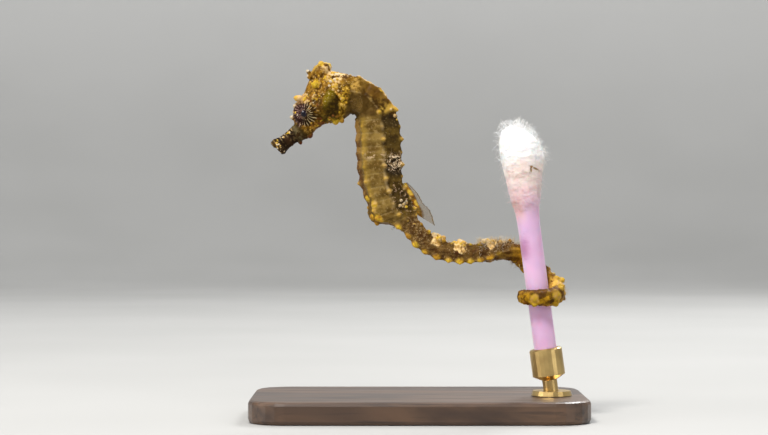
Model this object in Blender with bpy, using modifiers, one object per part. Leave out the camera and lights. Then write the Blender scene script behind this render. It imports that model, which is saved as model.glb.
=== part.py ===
"""A life-size young seahorse that grips a cotton bud with its tail, on a small display stand.

Metres, +Z up. The origin is the middle of the stand's underside. The head points to -X, and the
left side of the animal faces -Y. The body is one long loft along the animal's own line, parted by thin
cuts into head, neck, trunk and lengths of tail. Its sections are the bony rings: seven-sided in
the trunk and four-sided in the tail, with a knob where a ring crosses a ridge.
"""

import math

import bmesh
import bpy
import numpy as np
from mathutils import Matrix, Vector

MM = 0.001
GAP = 0.08 * MM  # clear space left between neighbouring pieces

# The stand and the perch.
BASE_SIZE = (36.0 * MM, 22.0 * MM, 2.4 * MM)
BASE_CORNER = 4.0 * MM
BASE_EDGE = 0.4 * MM
STEM_RADIUS = 1.2 * MM
STEM_LEAN = math.radians(7.6)  # the stem's top leans to -X
STEM_FOOT = Vector((13.83, -2.25, 5.4)) * MM  # the cut lower end, inside the cup
COTTON_LENGTH = 10.2 * MM
COTTON_RADIUS = 2.38 * MM
STEM_LENGTH = 24.6 * MM  # the last part is inside the cotton
COTTON_START = 17.0 * MM  # along the stem from its foot
BORE_START = 1.0 * MM  # how far under the cotton its bore begins
# Share of the cotton's length, radius as a share of the widest, how far the lump leans to +X, in mm.
COTTON_ROWS = (
    (0.0, 0.56, 0.0), (0.11, 0.66, 0.0), (0.28, 0.79, 0.10), (0.44, 0.92, 0.22), (0.57, 0.98, 0.24),
    (0.68, 0.92, 0.10), (0.78, 0.75, -0.14), (0.85, 0.54, -0.36), (0.89, 0.16, -0.50),
)
ROD_RADIUS = 0.8 * MM
CUP_RADIUS = 1.75 * MM
CUP_DEPTH = 2.2 * MM
FLANGE_RADIUS = 2.2 * MM
FLANGE_HEIGHT = 0.5 * MM
FLANGE_TAPER = 0.92
TRIM_BLOCK = (6.0 * MM, 6.0 * MM, 2.0 * MM)  # what cuts the rod level with the base
ROD_SINK = 1.0 * MM  # how far the rod is drawn below the floor before it is trimmed level
CUP_SHOULDER = (1.2 * MM, 0.7 * MM)  # how far under the cup the rod begins to widen, and ends
CUP_RIM = 0.15 * MM
ROUND_SIDES = 24
CREASE = math.radians(40)  # edges sharper than this stay sharp in the shading

# The animal's line, from the neck to the stem. Each station is the middle of a section: x and z,
# the heading of the body there in degrees, half its depth, half its width, in millimetres, and
# the turn of its back away from the viewer, in degrees.
BODY_STATIONS = (
    (-7.42, 34.80, 5, 2.22, 1.50, 0),
    (-5.45, 33.92, -43, 2.00, 1.52, 0),
    (-4.56, 32.21, -84, 2.36, 1.66, 0),
    (-4.32, 30.02, -88, 2.50, 1.76, 0),
    (-4.25, 28.04, -88, 2.50, 1.78, 0),
    (-4.12, 26.28, -83, 2.42, 1.72, 0),
    (-3.79, 24.52, -77, 2.28, 1.62, 0),
    (-3.32, 23.31, -72, 2.36, 1.58, 0),
    (-2.60, 21.77, -68, 2.42, 1.50, 0),
    (-1.73, 21.42, -64, 1.76, 1.34, 0),
    (-1.08, 20.90, -52, 1.32, 1.24, 0),
    (0.08, 19.50, -48, 1.22, 1.18, 0),
    (1.60, 18.34, -32, 1.18, 1.14, 0),
    (3.32, 17.80, -12, 1.15, 1.10, 0),
    (5.30, 17.65, -1, 1.12, 1.06, 0),
    (7.66, 17.80, 3, 1.05, 1.04, 10),
    (9.36, 17.88, -5, 1.02, 1.08, 38),
    (10.90, 17.46, -26, 1.00, 1.12, 72),
)
# The turn of the tail round the stem: the angle round it in degrees (90 is behind), the height of
# the tail's middle, half its depth and half its width, in millimetres.
COIL_STATIONS = (
    (90, 16.15, 1.00, 1.14),
    (45, 14.95, 0.74, 0.84),
    (0, 13.70, 0.88, 1.00),
    (-90, 12.98, 0.76, 0.90),
    (-180, 13.02, 0.52, 0.74),
    (-255, 12.95, 0.30, 0.36),
)
COIL_CLEARANCE = 0.1 * MM  # between the tail and the stem
COIL_PRESS = 0.9  # the tail's middle from its inner side, as a share of half its depth
COIL_STEP = 15.0  # degrees of the turn between two sections
TRUNK_END_STATION = 9
TRUNK_RINGS = 11
COIL_RING = 23  # from here on the belly side lies against the stem
TAIL_RINGS = 33
LAST_TAIL_RING = 0.42  # the length of the last tail ring, as a share of the first's

# Corners of a section, from the middle of the back down the left side to the middle of the
# belly, as shares of half the width and half the depth: back, upper, side, lower ridge, belly.
TRUNK_CORNERS = ((0.0, 0.90), (0.56, 0.96), (1.0, 0.20), (0.74, -0.68), (0.0, -1.0))
TAIL_CORNERS = ((0.0, 0.84), (0.86, 0.92), (0.94, 0.0), (0.86, -0.90), (0.0, -0.86))
CORNER_MIX_RINGS = 3.0  # rings over which the trunk's section turns into the tail's
PLATE_HOLLOW = 0.035  # how far a plate sinks between two ridges, as a share of the half width
VALLEY = 0.945  # the section between two rings, as a share of the section on a ring
# For each corner: the height of an ordinary knob and of a big one, in mm, and the rings, counted
# from the neck, on which it is big.
KNOBS = (
    (0.0, 0.0, ()),
    (0.14, 0.40, (2, 4, 6, 8, 10, 13, 15, 17, 19, 22, 24, 26, 28, 30, 32, 34, 36)),
    (0.12, 0.32, (2, 4, 6, 7, 8, 10)),
    (0.14, 0.28, (7, 9, 11, 13, 15, 17, 20, 22)),
    (0.05, 0.30, (7,)),
)

# The head, in its own frame: u from the mouth back along the snout, v towards the crown, in mm.
SNOUT_TIP = Vector((-15.19, 0.0, 29.01)) * MM
HEAD_HEADING = math.radians(36.3)
# A rib: u and v of its throat end, u and v of its crown end, half its width, how far it narrows
# towards the crown.
SNOUT_RIBS = (
    (0.34, -0.16, 0.16, 0.30, 0.22, 0.0),
    (0.02, -0.62, -0.28, 0.70, 0.56, 0.0),
    (0.00, -0.82, -0.34, 0.92, 0.74, 0.0),
    (0.32, -0.92, 0.06, 1.04, 0.78, 0.0),
    (0.78, -0.78, 0.66, 0.90, 0.68, 0.0),
    (1.60, -0.72, 1.52, 0.86, 0.66, 0.0),
    (2.38, -0.84, 2.28, 0.94, 0.72, 0.0),
    (3.05, -1.04, 2.88, 1.02, 0.84, 0.1),
)
SKULL_RIBS = (
    (3.05, -1.04, 2.88, 1.02, 0.84, 0.1),
    (3.65, -1.06, 3.28, 1.60, 1.04, 0.25),
    (4.25, -0.92, 3.76, 2.28, 1.24, 0.35),
    (4.85, -0.82, 4.44, 2.82, 1.40, 0.42),
    (5.55, -0.94, 5.38, 3.00, 1.52, 0.48),
    (6.25, -1.20, 6.32, 3.48, 1.60, 0.50),
    (6.85, -1.50, 7.30, 4.04, 1.68, 0.48),
    (7.45, -1.68, 8.40, 4.10, 1.72, 0.42),
    (8.08, -1.72, 9.50, 3.34, 1.68, 0.30),
    (8.50, -1.72, 10.72, 1.95, 1.50, 0.12),
)
EYE_PLACE = (4.46, 1.24, 0.94)  # u, v and out to the side
EYE_RADIUS = 0.80
ORBIT_RADIUS = 1.14
ORBIT_INSET = 0.32  # how much deeper the orbit's middle lies than the eye's
GILL_COVER_PLACE = (7.20, 0.30, 0.66)
GILL_COVER_REACH = (1.42, 1.90, 1.24)  # along u, along v and to the side
CORONET_PLACE = (8.62, 3.86)  # u and v of the middle of its foot
CORONET_LEAN = math.radians(62)  # its axis, above +X
CORONET_HEIGHT = 1.12
CORONET_POINTS = 5
# The crown's parts. Height and radius in mm, depth of the points and slope; the crown's heights are
# shares of its own.
CORONET_STEP = ((-1.2, 1.04, 0.0, 0.0), (0.0, 1.04, 0.0, 0.0))
CORONET_ROOM = ((0.0, 1.16, 0.0, 0.0), (2.0, 1.16, 0.0, 0.0))
CORONET_CUP = (
    (0.0, 1.0, 0.04, 0.0), (0.40, 0.84, 0.06, -0.06), (0.72, 0.76, 0.12, -0.12),
    (0.96, 0.72, 0.16, -0.18), (1.04, 0.48, 0.20, -0.18),
)
SPINE_POINT = 0.45  # the point of a spine, as a share of its root
SPINE_SIDES = 7
# Spines of the head: u, v and side of the root, then of the point, and the root's radius. A
# side of 0 is on the middle line, and any other makes a pair.
HEAD_SPINES = (
    ("nose", (3.60, 1.30, 0.0), (3.16, 1.86, 0.0), 0.34),
    ("brow", (4.90, 2.30, 0.46), (4.48, 3.36, 0.66), 0.44),
    ("lid", (4.30, 2.00, 0.50), (4.02, 2.64, 0.60), 0.26),
    ("crown_front", (7.50, 3.70, 0.34), (7.46, 4.98, 0.44), 0.30),
    ("crown_side", (7.10, 2.80, 0.80), (7.20, 3.20, 1.52), 0.40),
    ("temple", (6.20, 1.90, 1.10), (6.26, 2.10, 1.66), 0.28),
    ("gill_foot", (6.75, -0.90, 0.80), (6.62, -1.90, 1.00), 0.42),
    ("gill_heel", (7.30, -1.20, 0.80), (7.24, -2.06, 0.98), 0.42),
    ("jaw", (5.20, -0.50, 0.50), (5.16, -1.04, 0.62), 0.28),
    ("chin", (3.50, -0.50, 0.28), (3.50, -1.14, 0.34), 0.38),
    ("barb", (2.10, -0.40, 0.22), (1.92, -1.18, 0.26), 0.24),
    ("gill_top", (8.80, 1.70, 1.10), (8.90, 1.85, 1.74), 0.36),
    ("gill_back", (8.60, 0.10, 1.10), (8.75, 0.05, 1.76), 0.34),
)

# Fins, in millimetres.
FIN_THICKNESS = 0.5
FIN_STEP = 0.12  # how far a fin's root stands off the back's middle line
DORSAL_FIN_RINGS = (8.1, 11.5)  # the stretch of back that it stands on, in rings from the neck
DORSAL_FIN_HEIGHT = 1.20
DORSAL_FIN_SWEEP = 1.7  # how far its rear corner trails behind its root
DORSAL_FIN_RAYS = 9
PECTORAL_FIN_ROOT = (-7.15, 33.95)  # x and z
PECTORAL_FIN_SIDE = 1.47
PECTORAL_FIN_LENGTH = 1.35
PECTORAL_FIN_SPREAD = math.radians(100)
ANAL_FIN_RING = 11.3
ANAL_FIN_LENGTH = 0.75
ANAL_FIN_SPREAD = math.radians(50)

# Colours: linear red, green, blue, then roughness and metallic.
FINISHES = {
    "skin": ((0.20, 0.11, 0.03), 0.55, 0.0),
    "horn": ((0.45, 0.25, 0.06), 0.5, 0.0),
    "eye": ((0.03, 0.025, 0.03), 0.12, 0.0),
    "fin": ((0.25, 0.17, 0.07), 0.45, 0.0),
    "stem": ((0.72, 0.46, 0.62), 0.4, 0.0),
    "cotton": ((0.85, 0.83, 0.80), 0.95, 0.0),
    "base": ((0.045, 0.022, 0.012), 0.4, 0.0),
    "metal": ((0.55, 0.42, 0.20), 0.3, 1.0),
}


def clear_scene():
    for obj in list(bpy.data.objects):
        bpy.data.objects.remove(obj)


def collection(name, shown):
    made = bpy.data.collections.new(name)
    bpy.context.scene.collection.children.link(made)
    made.hide_render = not shown
    return made


def finish(name):
    material = bpy.data.materials.get(name)
    if material is None:
        colour, roughness, metallic = FINISHES[name]
        material = bpy.data.materials.new(name)
        material.use_nodes = True
        shader = material.node_tree.nodes["Principled BSDF"]
        shader.inputs["Base Color"].default_value = (*colour, 1)
        shader.inputs["Roughness"].default_value = roughness
        shader.inputs["Metallic"].default_value = metallic
    return material


def add_object(name, mesh, parts, finish_name):
    mesh.materials.append(finish(finish_name))
    obj = bpy.data.objects.new(name, mesh)
    parts.objects.link(obj)
    return obj


def as_mesh(name, bm):
    bmesh.ops.recalc_face_normals(bm, faces=bm.faces)
    mesh = bpy.data.meshes.new(name)
    bm.to_mesh(mesh)
    bm.free()
    mesh.shade_smooth()
    mesh.set_sharp_from_angle(angle=CREASE)
    return mesh


def loft(name, sections):
    """A closed mesh through rings of points, each ring with as many points as the next."""
    bm = bmesh.new()
    rings = [[bm.verts.new(point) for point in section] for section in sections]
    for ring, following in zip(rings, rings[1:]):
        for i in range(len(ring)):
            j = (i + 1) % len(ring)
            bm.faces.new((ring[i], ring[j], following[j], following[i]))
    bm.faces.new(rings[0])
    bm.faces.new(rings[-1])
    return as_mesh(name, bm)


def smooth_curve(knots, values, places):
    """A natural cubic spline through values at knots, read at places. Values may be vectors."""
    knots = np.asarray(knots, float)
    values = np.asarray(values, float).reshape(len(knots), -1)
    count = len(knots)
    step = np.diff(knots)
    slope = np.diff(values, axis=0) / step[:, None]
    system = np.eye(count)
    right = np.zeros_like(values)
    for i in range(1, count - 1):
        system[i, i - 1 : i + 2] = step[i - 1], 2 * (step[i - 1] + step[i]), step[i]
        right[i] = 6 * (slope[i] - slope[i - 1])
    bend = np.linalg.solve(system, right)
    places = np.asarray(places, float)
    k = np.clip(np.searchsorted(knots, places) - 1, 0, count - 2)
    h = step[k][:, None]
    before = (knots[k + 1] - places)[:, None]
    after = (places - knots[k])[:, None]
    return (
        (bend[k] * before**3 + bend[k + 1] * after**3) / (6 * h)
        + (values[k] / h - bend[k] * h / 6) * before
        + (values[k + 1] / h - bend[k + 1] * h / 6) * after
    )


def stem_axis():
    return Vector((-math.sin(STEM_LEAN), 0, math.cos(STEM_LEAN)))


def stem_point(height):
    """The point of the stem's axis at that height above the floor."""
    axis = stem_axis()
    return STEM_FOOT + axis * ((height - STEM_FOOT.z) / axis.z)


def body_stations():
    """Middle, back direction, half depth and half width of each station, as four arrays in metres."""
    middles, backs, depths, widths = [], [], [], []
    for x, z, heading, depth, width, turn in BODY_STATIONS:
        heading, turn = math.radians(heading), math.radians(turn)
        up = Vector((-math.sin(heading), 0, math.cos(heading)))
        middles.append(Vector((x, 0, z)) * MM)
        backs.append(up * math.cos(turn) + Vector((0, 1, 0)) * math.sin(turn))
        depths.append(depth * MM)
        widths.append(width * MM)
    knots, rows = [-c[0] for c in COIL_STATIONS], [c[1:] for c in COIL_STATIONS]
    turns = np.arange(knots[0], knots[-1] + 1, COIL_STEP)
    for angle, (height, depth, width) in zip(turns, smooth_curve(knots, rows, turns) * MM):
        out = Vector((math.cos(math.radians(-angle)), math.sin(math.radians(-angle)), 0))
        middles.append(stem_point(height) + out * (STEM_RADIUS + COIL_CLEARANCE + depth * COIL_PRESS))
        backs.append(out)
        depths.append(depth)
        widths.append(width)
    return np.array(middles), np.array(backs), np.array(depths), np.array(widths)


class Body:
    """The animal's line from the neck to the tail's tip, read in rings."""

    def __init__(self):
        middles, backs, depths, widths = body_stations()
        knots = np.concatenate([[0], np.cumsum(np.linalg.norm(np.diff(middles, axis=0), axis=1))])
        table = np.column_stack([middles, backs, depths, widths])
        self.dense = np.linspace(0, knots[-1], 3000)
        self.rows = smooth_curve(knots, table, self.dense)
        line = self.rows[:, :3]
        self.along = np.concatenate([[0], np.cumsum(np.linalg.norm(np.diff(line, axis=0), axis=1))])
        trunk_end = np.interp(knots[TRUNK_END_STATION], self.dense, self.along)
        shares = np.linspace(1.0, LAST_TAIL_RING, TAIL_RINGS)
        tail = np.cumsum(shares) / shares.sum() * (self.along[-1] - trunk_end)
        trunk = np.linspace(0, trunk_end, TRUNK_RINGS + 1)
        self.edges = np.concatenate([trunk, trunk_end + tail])
        self.tangents = np.gradient(line, self.along, axis=0)

    def frame(self, ring):
        """Middle, back and left directions, half depth and half width at a place counted in rings."""
        place = np.interp(ring, np.arange(len(self.edges)), self.edges)
        row = [np.interp(place, self.along, self.rows[:, i]) for i in range(8)]
        tangent = Vector([np.interp(place, self.along, self.tangents[:, i]) for i in range(3)])
        back = Vector(row[3:6]).normalized()
        left = tangent.cross(back).normalized()
        return Vector(row[:3]), back, left, row[6], row[7]


def half_section(ring, place_in_ring, plates):
    """Points down the left side of the section at that ring, as shares of half width and half depth,
    and the knob height at each, in metres."""
    mix = min(max((ring - TRUNK_RINGS) / CORNER_MIX_RINGS + 0.5, 0.0), 1.0)
    corners = [Vector(a).lerp(Vector(b), mix) for a, b in zip(TRUNK_CORNERS, TAIL_CORNERS)]
    shrink = min(1.0, (TRUNK_RINGS + TAIL_RINGS - ring) / 9.0)
    rise = max(0.0, 1 - 3.0 * abs(place_in_ring)) * shrink
    belly_rise = min(max((ring - 2.5) / 1.5, 0.0), 1.0)  # none inside the bend of the neck
    fades = (1.0, 1.0, 1.0 - mix, belly_rise, belly_rise * (1.0 - mix))
    points = []
    for i, corner in enumerate(corners):
        small, big, big_rings = KNOBS[i]
        knob = (big if int(ring) in big_rings else small) * rise * fades[i] * MM
        points.append((corner, knob))
        if plates and i + 1 < len(corners):
            middle = (corner + corners[i + 1]) / 2
            points.append((middle * (1 - PLATE_HOLLOW), 0.0))
    return points


def body_section(body, ring, place_in_ring, plates):
    """The closed section at a place counted in rings. place_in_ring runs from -0.5 to 0.5."""
    middle, back, left, depth, width = body.frame(ring)
    scale = 1 - (1 - VALLEY) * min(1.0, 2 * abs(place_in_ring))
    half = half_section(ring, place_in_ring, plates)
    points = []
    mirrored = [(Vector((-c.x, c.y)), k) for c, k in half[-2:0:-1]]
    for corner, knob in half + mirrored:
        offset = left * (corner.x * width * scale) + back * (corner.y * depth * scale)
        outward = offset.normalized()
        if ring > COIL_RING:
            outward -= back * min(0.0, outward.dot(back))
        points.append(middle + offset + outward * knob)
    return points


def flesh_length(body, name, first, last, parts, plates, cuts):
    """A length of the body from ring edge first to ring edge last, with a thin gap at its far end."""
    places = [(ring + 0.5 + offset, offset) for ring in range(first, last) for offset in cuts]
    places = [(max(place, first), offset) for place, offset in places]
    end_gap = GAP / (body.edges[last] - body.edges[last - 1])
    places.append((last - end_gap, 0.5 - end_gap))
    sections = [body_section(body, place, offset, plates) for place, offset in places]
    return add_object(name, loft(name, sections), parts, "skin")


def head_point(u, v, side=0.0):
    """A point of the head's frame, given in millimetres, in metres. A positive side is the left."""
    along = Vector((math.cos(HEAD_HEADING), 0, math.sin(HEAD_HEADING)))
    up = Vector((-math.sin(HEAD_HEADING), 0, math.cos(HEAD_HEADING)))
    return SNOUT_TIP + (along * u + up * v + Vector((0, -1, 0)) * side) * MM


def head_section(rib, sides):
    throat_u, throat_v, crown_u, crown_v, width, crest = rib
    throat, crown = Vector((throat_u, throat_v)), Vector((crown_u, crown_v))
    middle, reach = (throat + crown) / 2, (crown - throat) / 2
    points = []
    for i in range(sides):
        angle = 2 * math.pi * i / sides
        rise = math.cos(angle)
        side = math.sin(angle) * width * (1 - crest * max(0.0, rise) ** 1.3)
        place = middle + reach * rise
        points.append(head_point(place.x, place.y, side))
    return points


def head_loft(name, ribs, steps, sides, parts):
    rows = smooth_curve(range(len(ribs)), ribs, np.linspace(0, len(ribs) - 1, steps))
    return add_object(name, loft(name, [head_section(row, sides) for row in rows]), parts, "skin")


def join(obj, tool, operation):
    modifier = obj.modifiers.new(operation.lower(), "BOOLEAN")
    modifier.operation = operation
    modifier.solver = "MANIFOLD"  # EXACT leaves open edges where small spines meet the head
    modifier.object = tool


def ball(name, centre, radius, tools, segments=18, reach=(1.0, 1.0, 1.0)):
    """A ball with its poles to the sides. reach stretches it along u, v and to the side."""
    bm = bmesh.new()
    bmesh.ops.create_uvsphere(bm, u_segments=segments, v_segments=segments // 2, radius=radius)
    turn = Matrix.Rotation(-HEAD_HEADING, 4, "Y") @ Matrix.Rotation(math.pi / 2, 4, "X")
    place = Matrix.Translation(centre) @ turn @ Matrix.Diagonal((*reach, 1))
    bmesh.ops.transform(bm, matrix=place, verts=bm.verts)
    return helper(name, as_mesh(name, bm), tools)


def helper(name, mesh, tools):
    obj = bpy.data.objects.new(name, mesh)
    obj.hide_render = True
    obj.display_type = "WIRE"
    tools.objects.link(obj)
    return obj


def cone(name, low, high, radius, top_radius, sides=ROUND_SIDES):
    """A cylinder, or a cone cut off, from one point to another."""
    bm = bmesh.new()
    axis = high - low
    bmesh.ops.create_cone(
        bm, cap_ends=True, segments=sides, radius1=radius, radius2=top_radius, depth=axis.length
    )
    turn = axis.to_track_quat("Z", "Y").to_matrix().to_4x4()
    bmesh.ops.transform(bm, matrix=Matrix.Translation((low + high) / 2) @ turn, verts=bm.verts)
    return as_mesh(name, bm)


def spike(name, root, point, radius, tools):
    """A blunt spine from inside the flesh at root out to point."""
    return helper(name, cone(name, root, point, radius, radius * SPINE_POINT, SPINE_SIDES), tools)


def make_eye(side, label, head, parts, tools):
    """The eye, in a socket that leaves a thin space round it."""
    u, v, out = EYE_PLACE
    centre = head_point(u, v, side * out)
    join(head, ball(f"socket_{label}", centre, EYE_RADIUS * MM + GAP, tools), "DIFFERENCE")
    eye = ball(f"eye_{label}", centre, EYE_RADIUS * MM, tools, segments=16)
    tools.objects.unlink(eye)
    parts.objects.link(eye)
    eye.hide_render = False
    eye.display_type = "TEXTURED"
    eye.data.materials.append(finish("eye"))


def make_head(parts, tools):
    snout = head_loft("snout", SNOUT_RIBS, 15, 16, parts)
    head = head_loft("head", SKULL_RIBS, 19, 18, parts)
    snout.data.transform(Matrix.Translation(head_point(-GAP / MM, 0) - SNOUT_TIP))
    for side, label in ((1, "left"), (-1, "right")):
        u, v, out = GILL_COVER_PLACE
        centre = head_point(u, v, side * out)
        join(head, ball(f"gill_cover_{label}", centre, MM, tools, 16, GILL_COVER_REACH), "UNION")
        u, v, out = EYE_PLACE
        centre = head_point(u, v, side * (out - ORBIT_INSET))
        join(head, ball(f"orbit_{label}", centre, ORBIT_RADIUS * MM, tools), "UNION")
    for label, root, point, radius in HEAD_SPINES:
        owner = snout if label == "barb" else head
        for side in (1, -1) if root[2] else (1,):
            a = head_point(root[0], root[1], root[2] * side)
            b = head_point(point[0], point[1], point[2] * side)
            join(owner, spike(f"spine_{label}_{side}", a, b, radius * MM, tools), "UNION")
    for side, label in ((1, "left"), (-1, "right")):
        make_eye(side, label, head, parts, tools)
    make_coronet(head, parts, tools)


def star_section(centre, axis, radius, depth, slope):
    """A ring round an axis whose radius swells at each point of the coronet by a share, depth. It
    stands higher in front than behind by slope."""
    front = axis.cross(Vector((0, 1, 0))).normalized()
    sides = CORONET_POINTS * 4
    points = []
    for i in range(sides):
        angle = 2 * math.pi * i / sides
        reach = radius * (1 - depth * math.cos(CORONET_POINTS * angle))
        rise = axis * slope * radius * math.cos(angle)
        points.append(centre + (front * math.cos(angle) + Vector((0, 1, 0)) * math.sin(angle)) * reach + rise)
    return points


def make_coronet(head, parts, tools):
    """The crown on a low step of the skull, with its five points round the top."""
    foot = head_point(*CORONET_PLACE)
    axis = Vector((math.cos(CORONET_LEAN), 0, math.sin(CORONET_LEAN)))

    def sections(rows, lift, rise):
        return [
            star_section(foot + axis * (lift + h * rise * MM), axis, r * MM, depth, slope)
            for h, r, depth, slope in rows
        ]

    for name, rows, operation in (
        ("coronet_step", CORONET_STEP, "UNION"), ("coronet_room", CORONET_ROOM, "DIFFERENCE")
    ):
        join(head, helper(name, loft(name, sections(rows, 0.0, 1.0)), tools), operation)
    add_object("coronet", loft("coronet", sections(CORONET_CUP, GAP, CORONET_HEIGHT)), parts, "horn")


def blade(name, inner, outer, thickness, parts):
    """A thin fin between two edges, each a list of points, thick along its own normal."""
    across = (outer[-1] - inner[0]).cross(inner[-1] - outer[0]).normalized() * thickness / 2
    edge = inner + outer[::-1]
    bm = bmesh.new()
    front = [bm.verts.new(p + across) for p in edge]
    behind = [bm.verts.new(p - across) for p in edge]
    count = len(inner)
    for i in range(count - 1):
        j = 2 * count - 2 - i
        bm.faces.new((front[i], front[i + 1], front[j], front[j + 1]))
        bm.faces.new((behind[i], behind[i + 1], behind[j], behind[j + 1]))
    for i in range(2 * count):
        j = (i + 1) % (2 * count)
        bm.faces.new((front[i], front[j], behind[j], behind[i]))
    return add_object(name, as_mesh(name, bm), parts, "fin")


def make_dorsal_fin(body, parts):
    first, last = DORSAL_FIN_RINGS
    inner, outer = [], []
    for i in range(DORSAL_FIN_RAYS):
        share = i / (DORSAL_FIN_RAYS - 1)
        middle, back, left, depth, _ = body.frame(first + (last - first) * share)
        behind = back.cross(left)
        root = middle + back * (depth * TRUNK_CORNERS[0][1] + FIN_STEP * MM + GAP)
        height = DORSAL_FIN_HEIGHT * math.sin(math.radians(20 + 110 * share)) ** 0.6
        sweep = DORSAL_FIN_SWEEP * share**5
        inner.append(root)
        outer.append(root + (back * height + behind * sweep) * MM)
    blade("dorsal_fin", inner, outer, FIN_THICKNESS * MM, parts)


def fan(name, root, axis, side, length, spread, stem, parts):
    """A fan of a fin: its rays leave a short root and end on an arc."""
    rays = 6
    across = axis.cross(side).normalized()
    inner, outer = [], []
    for i in range(rays):
        angle = spread * (i / (rays - 1) - 0.5)
        ray = axis * math.cos(angle) + across * math.sin(angle)
        inner.append(root + across * stem * (i / (rays - 1) - 0.5) + axis * GAP)
        outer.append(root + ray * length * (0.9 + 0.1 * math.cos(2 * angle)))
    return blade(name, inner, outer, FIN_THICKNESS * MM, parts)


def make_small_fins(body, parts):
    x, z = PECTORAL_FIN_ROOT
    for side, label in ((-1, "left"), (1, "right")):
        root = Vector((x, side * PECTORAL_FIN_SIDE, z)) * MM
        axis = Vector((0.86, side * 0.36, -0.34)).normalized()
        out = Vector((-0.36, side * 0.93, 0.0)).normalized()
        fan(f"pectoral_fin_{label}", root + out * FIN_THICKNESS / 2 * MM, axis, out,
            PECTORAL_FIN_LENGTH * MM, PECTORAL_FIN_SPREAD, 0.5 * MM, parts)
    middle, back, left, depth, _ = body.frame(ANAL_FIN_RING)
    root = middle - back * (depth * -TAIL_CORNERS[4][1] + FIN_STEP * MM)
    axis = (back.cross(left) * 0.5 - back).normalized()
    fan("anal_fin", root, axis, left, ANAL_FIN_LENGTH * MM, ANAL_FIN_SPREAD, 0.3 * MM, parts)


def make_body(body, parts):
    full, plain = (-0.5, -0.2, 0.0, 0.2), (-0.5, -0.2, 0.0)
    lengths = (
        ("neck", 0, 4, True, full),
        ("trunk_chest", 4, 8, True, full),
        ("trunk_belly", 8, 11, True, full),
        ("tail_root", 11, 15, False, full),
        ("tail_middle", 15, 19, False, full),
        ("tail_bend", 19, 23, False, full),
        ("tail_behind_stem", 23, 27, False, full),
        ("tail_right_of_stem", 27, 31, False, full),
        ("tail_before_stem", 31, 35, False, full),
        ("tail_left_of_stem", 35, 39, False, plain),
        ("tail_tip", 39, 44, False, plain),
    )
    for name, first, last, plates, cuts in lengths:
        flesh_length(body, name, first, last, parts, plates, cuts)


def circle(centre, axis, radius, sides):
    across = axis.cross(Vector((0, 1, 0))).normalized()
    turns = [2 * math.pi * i / sides for i in range(sides)]
    return [centre + (across * math.cos(t) + Vector((0, 1, 0)) * math.sin(t)) * radius for t in turns]


def make_perch(parts, tools):
    """The cotton bud: a plain stem, cut short in the stand's cup, and its cotton tip."""
    axis = stem_axis()
    top = STEM_FOOT + axis * STEM_LENGTH
    add_object("perch_stem", cone("perch_stem", STEM_FOOT, top, STEM_RADIUS, STEM_RADIUS), parts, "stem")
    across = Vector((axis.z, 0, -axis.x))
    sections = [
        circle(
            STEM_FOOT + axis * (COTTON_START + share * COTTON_LENGTH) + across * lean * MM,
            axis, radius * COTTON_RADIUS, ROUND_SIDES,
        )
        for share, radius, lean in COTTON_ROWS
    ]
    cotton = add_object("perch_cotton", loft("perch_cotton", sections), parts, "cotton")
    low = STEM_FOOT + axis * (COTTON_START - BORE_START)
    bore = cone("cotton_bore", low, top + axis * GAP, STEM_RADIUS + GAP, STEM_RADIUS + GAP)
    join(cotton, helper("cotton_bore", bore, tools), "DIFFERENCE")


def make_stand(parts, tools):
    """A flat base with rounded corners, and one rod with a cup for the stem."""
    bpy.ops.mesh.primitive_cube_add(size=1, location=(0, 0, BASE_SIZE[2] / 2))
    base = bpy.context.active_object
    base.name = "stand_base"
    base.data.transform(Matrix.Diagonal((*BASE_SIZE, 1)))
    for holder in list(base.users_collection):
        holder.objects.unlink(base)
    parts.objects.link(base)
    base.data.materials.append(finish("base"))
    bm = bmesh.new()
    bm.from_mesh(base.data)
    upright = [e for e in bm.edges if abs(e.verts[0].co.z - e.verts[1].co.z) > MM]
    bmesh.ops.bevel(bm, geom=upright, offset=BASE_CORNER, segments=6, profile=0.5, affect="EDGES")
    bm.to_mesh(base.data)
    bm.free()
    edge = base.modifiers.new("edge", "BEVEL")
    edge.width = BASE_EDGE
    edge.segments = 2
    edge.limit_method = "ANGLE"

    rod = turned_rod(parts)
    floor = BASE_SIZE[2] + GAP
    bpy.ops.mesh.primitive_cube_add(size=1)
    block = bpy.context.active_object.data
    bpy.data.objects.remove(bpy.context.active_object)
    low = stem_point(floor)
    block.transform(Matrix.Translation((low.x, low.y, floor - ROD_SINK)) @ Matrix.Diagonal((*TRIM_BLOCK, 1)))
    join(rod, helper("rod_trim", block, tools), "DIFFERENCE")
    top = low + Vector((0, 0, FLANGE_HEIGHT))
    flange = cone("rod_flange", low, top, FLANGE_RADIUS, FLANGE_RADIUS * FLANGE_TAPER)
    join(rod, helper("rod_flange", flange, tools), "UNION")


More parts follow.
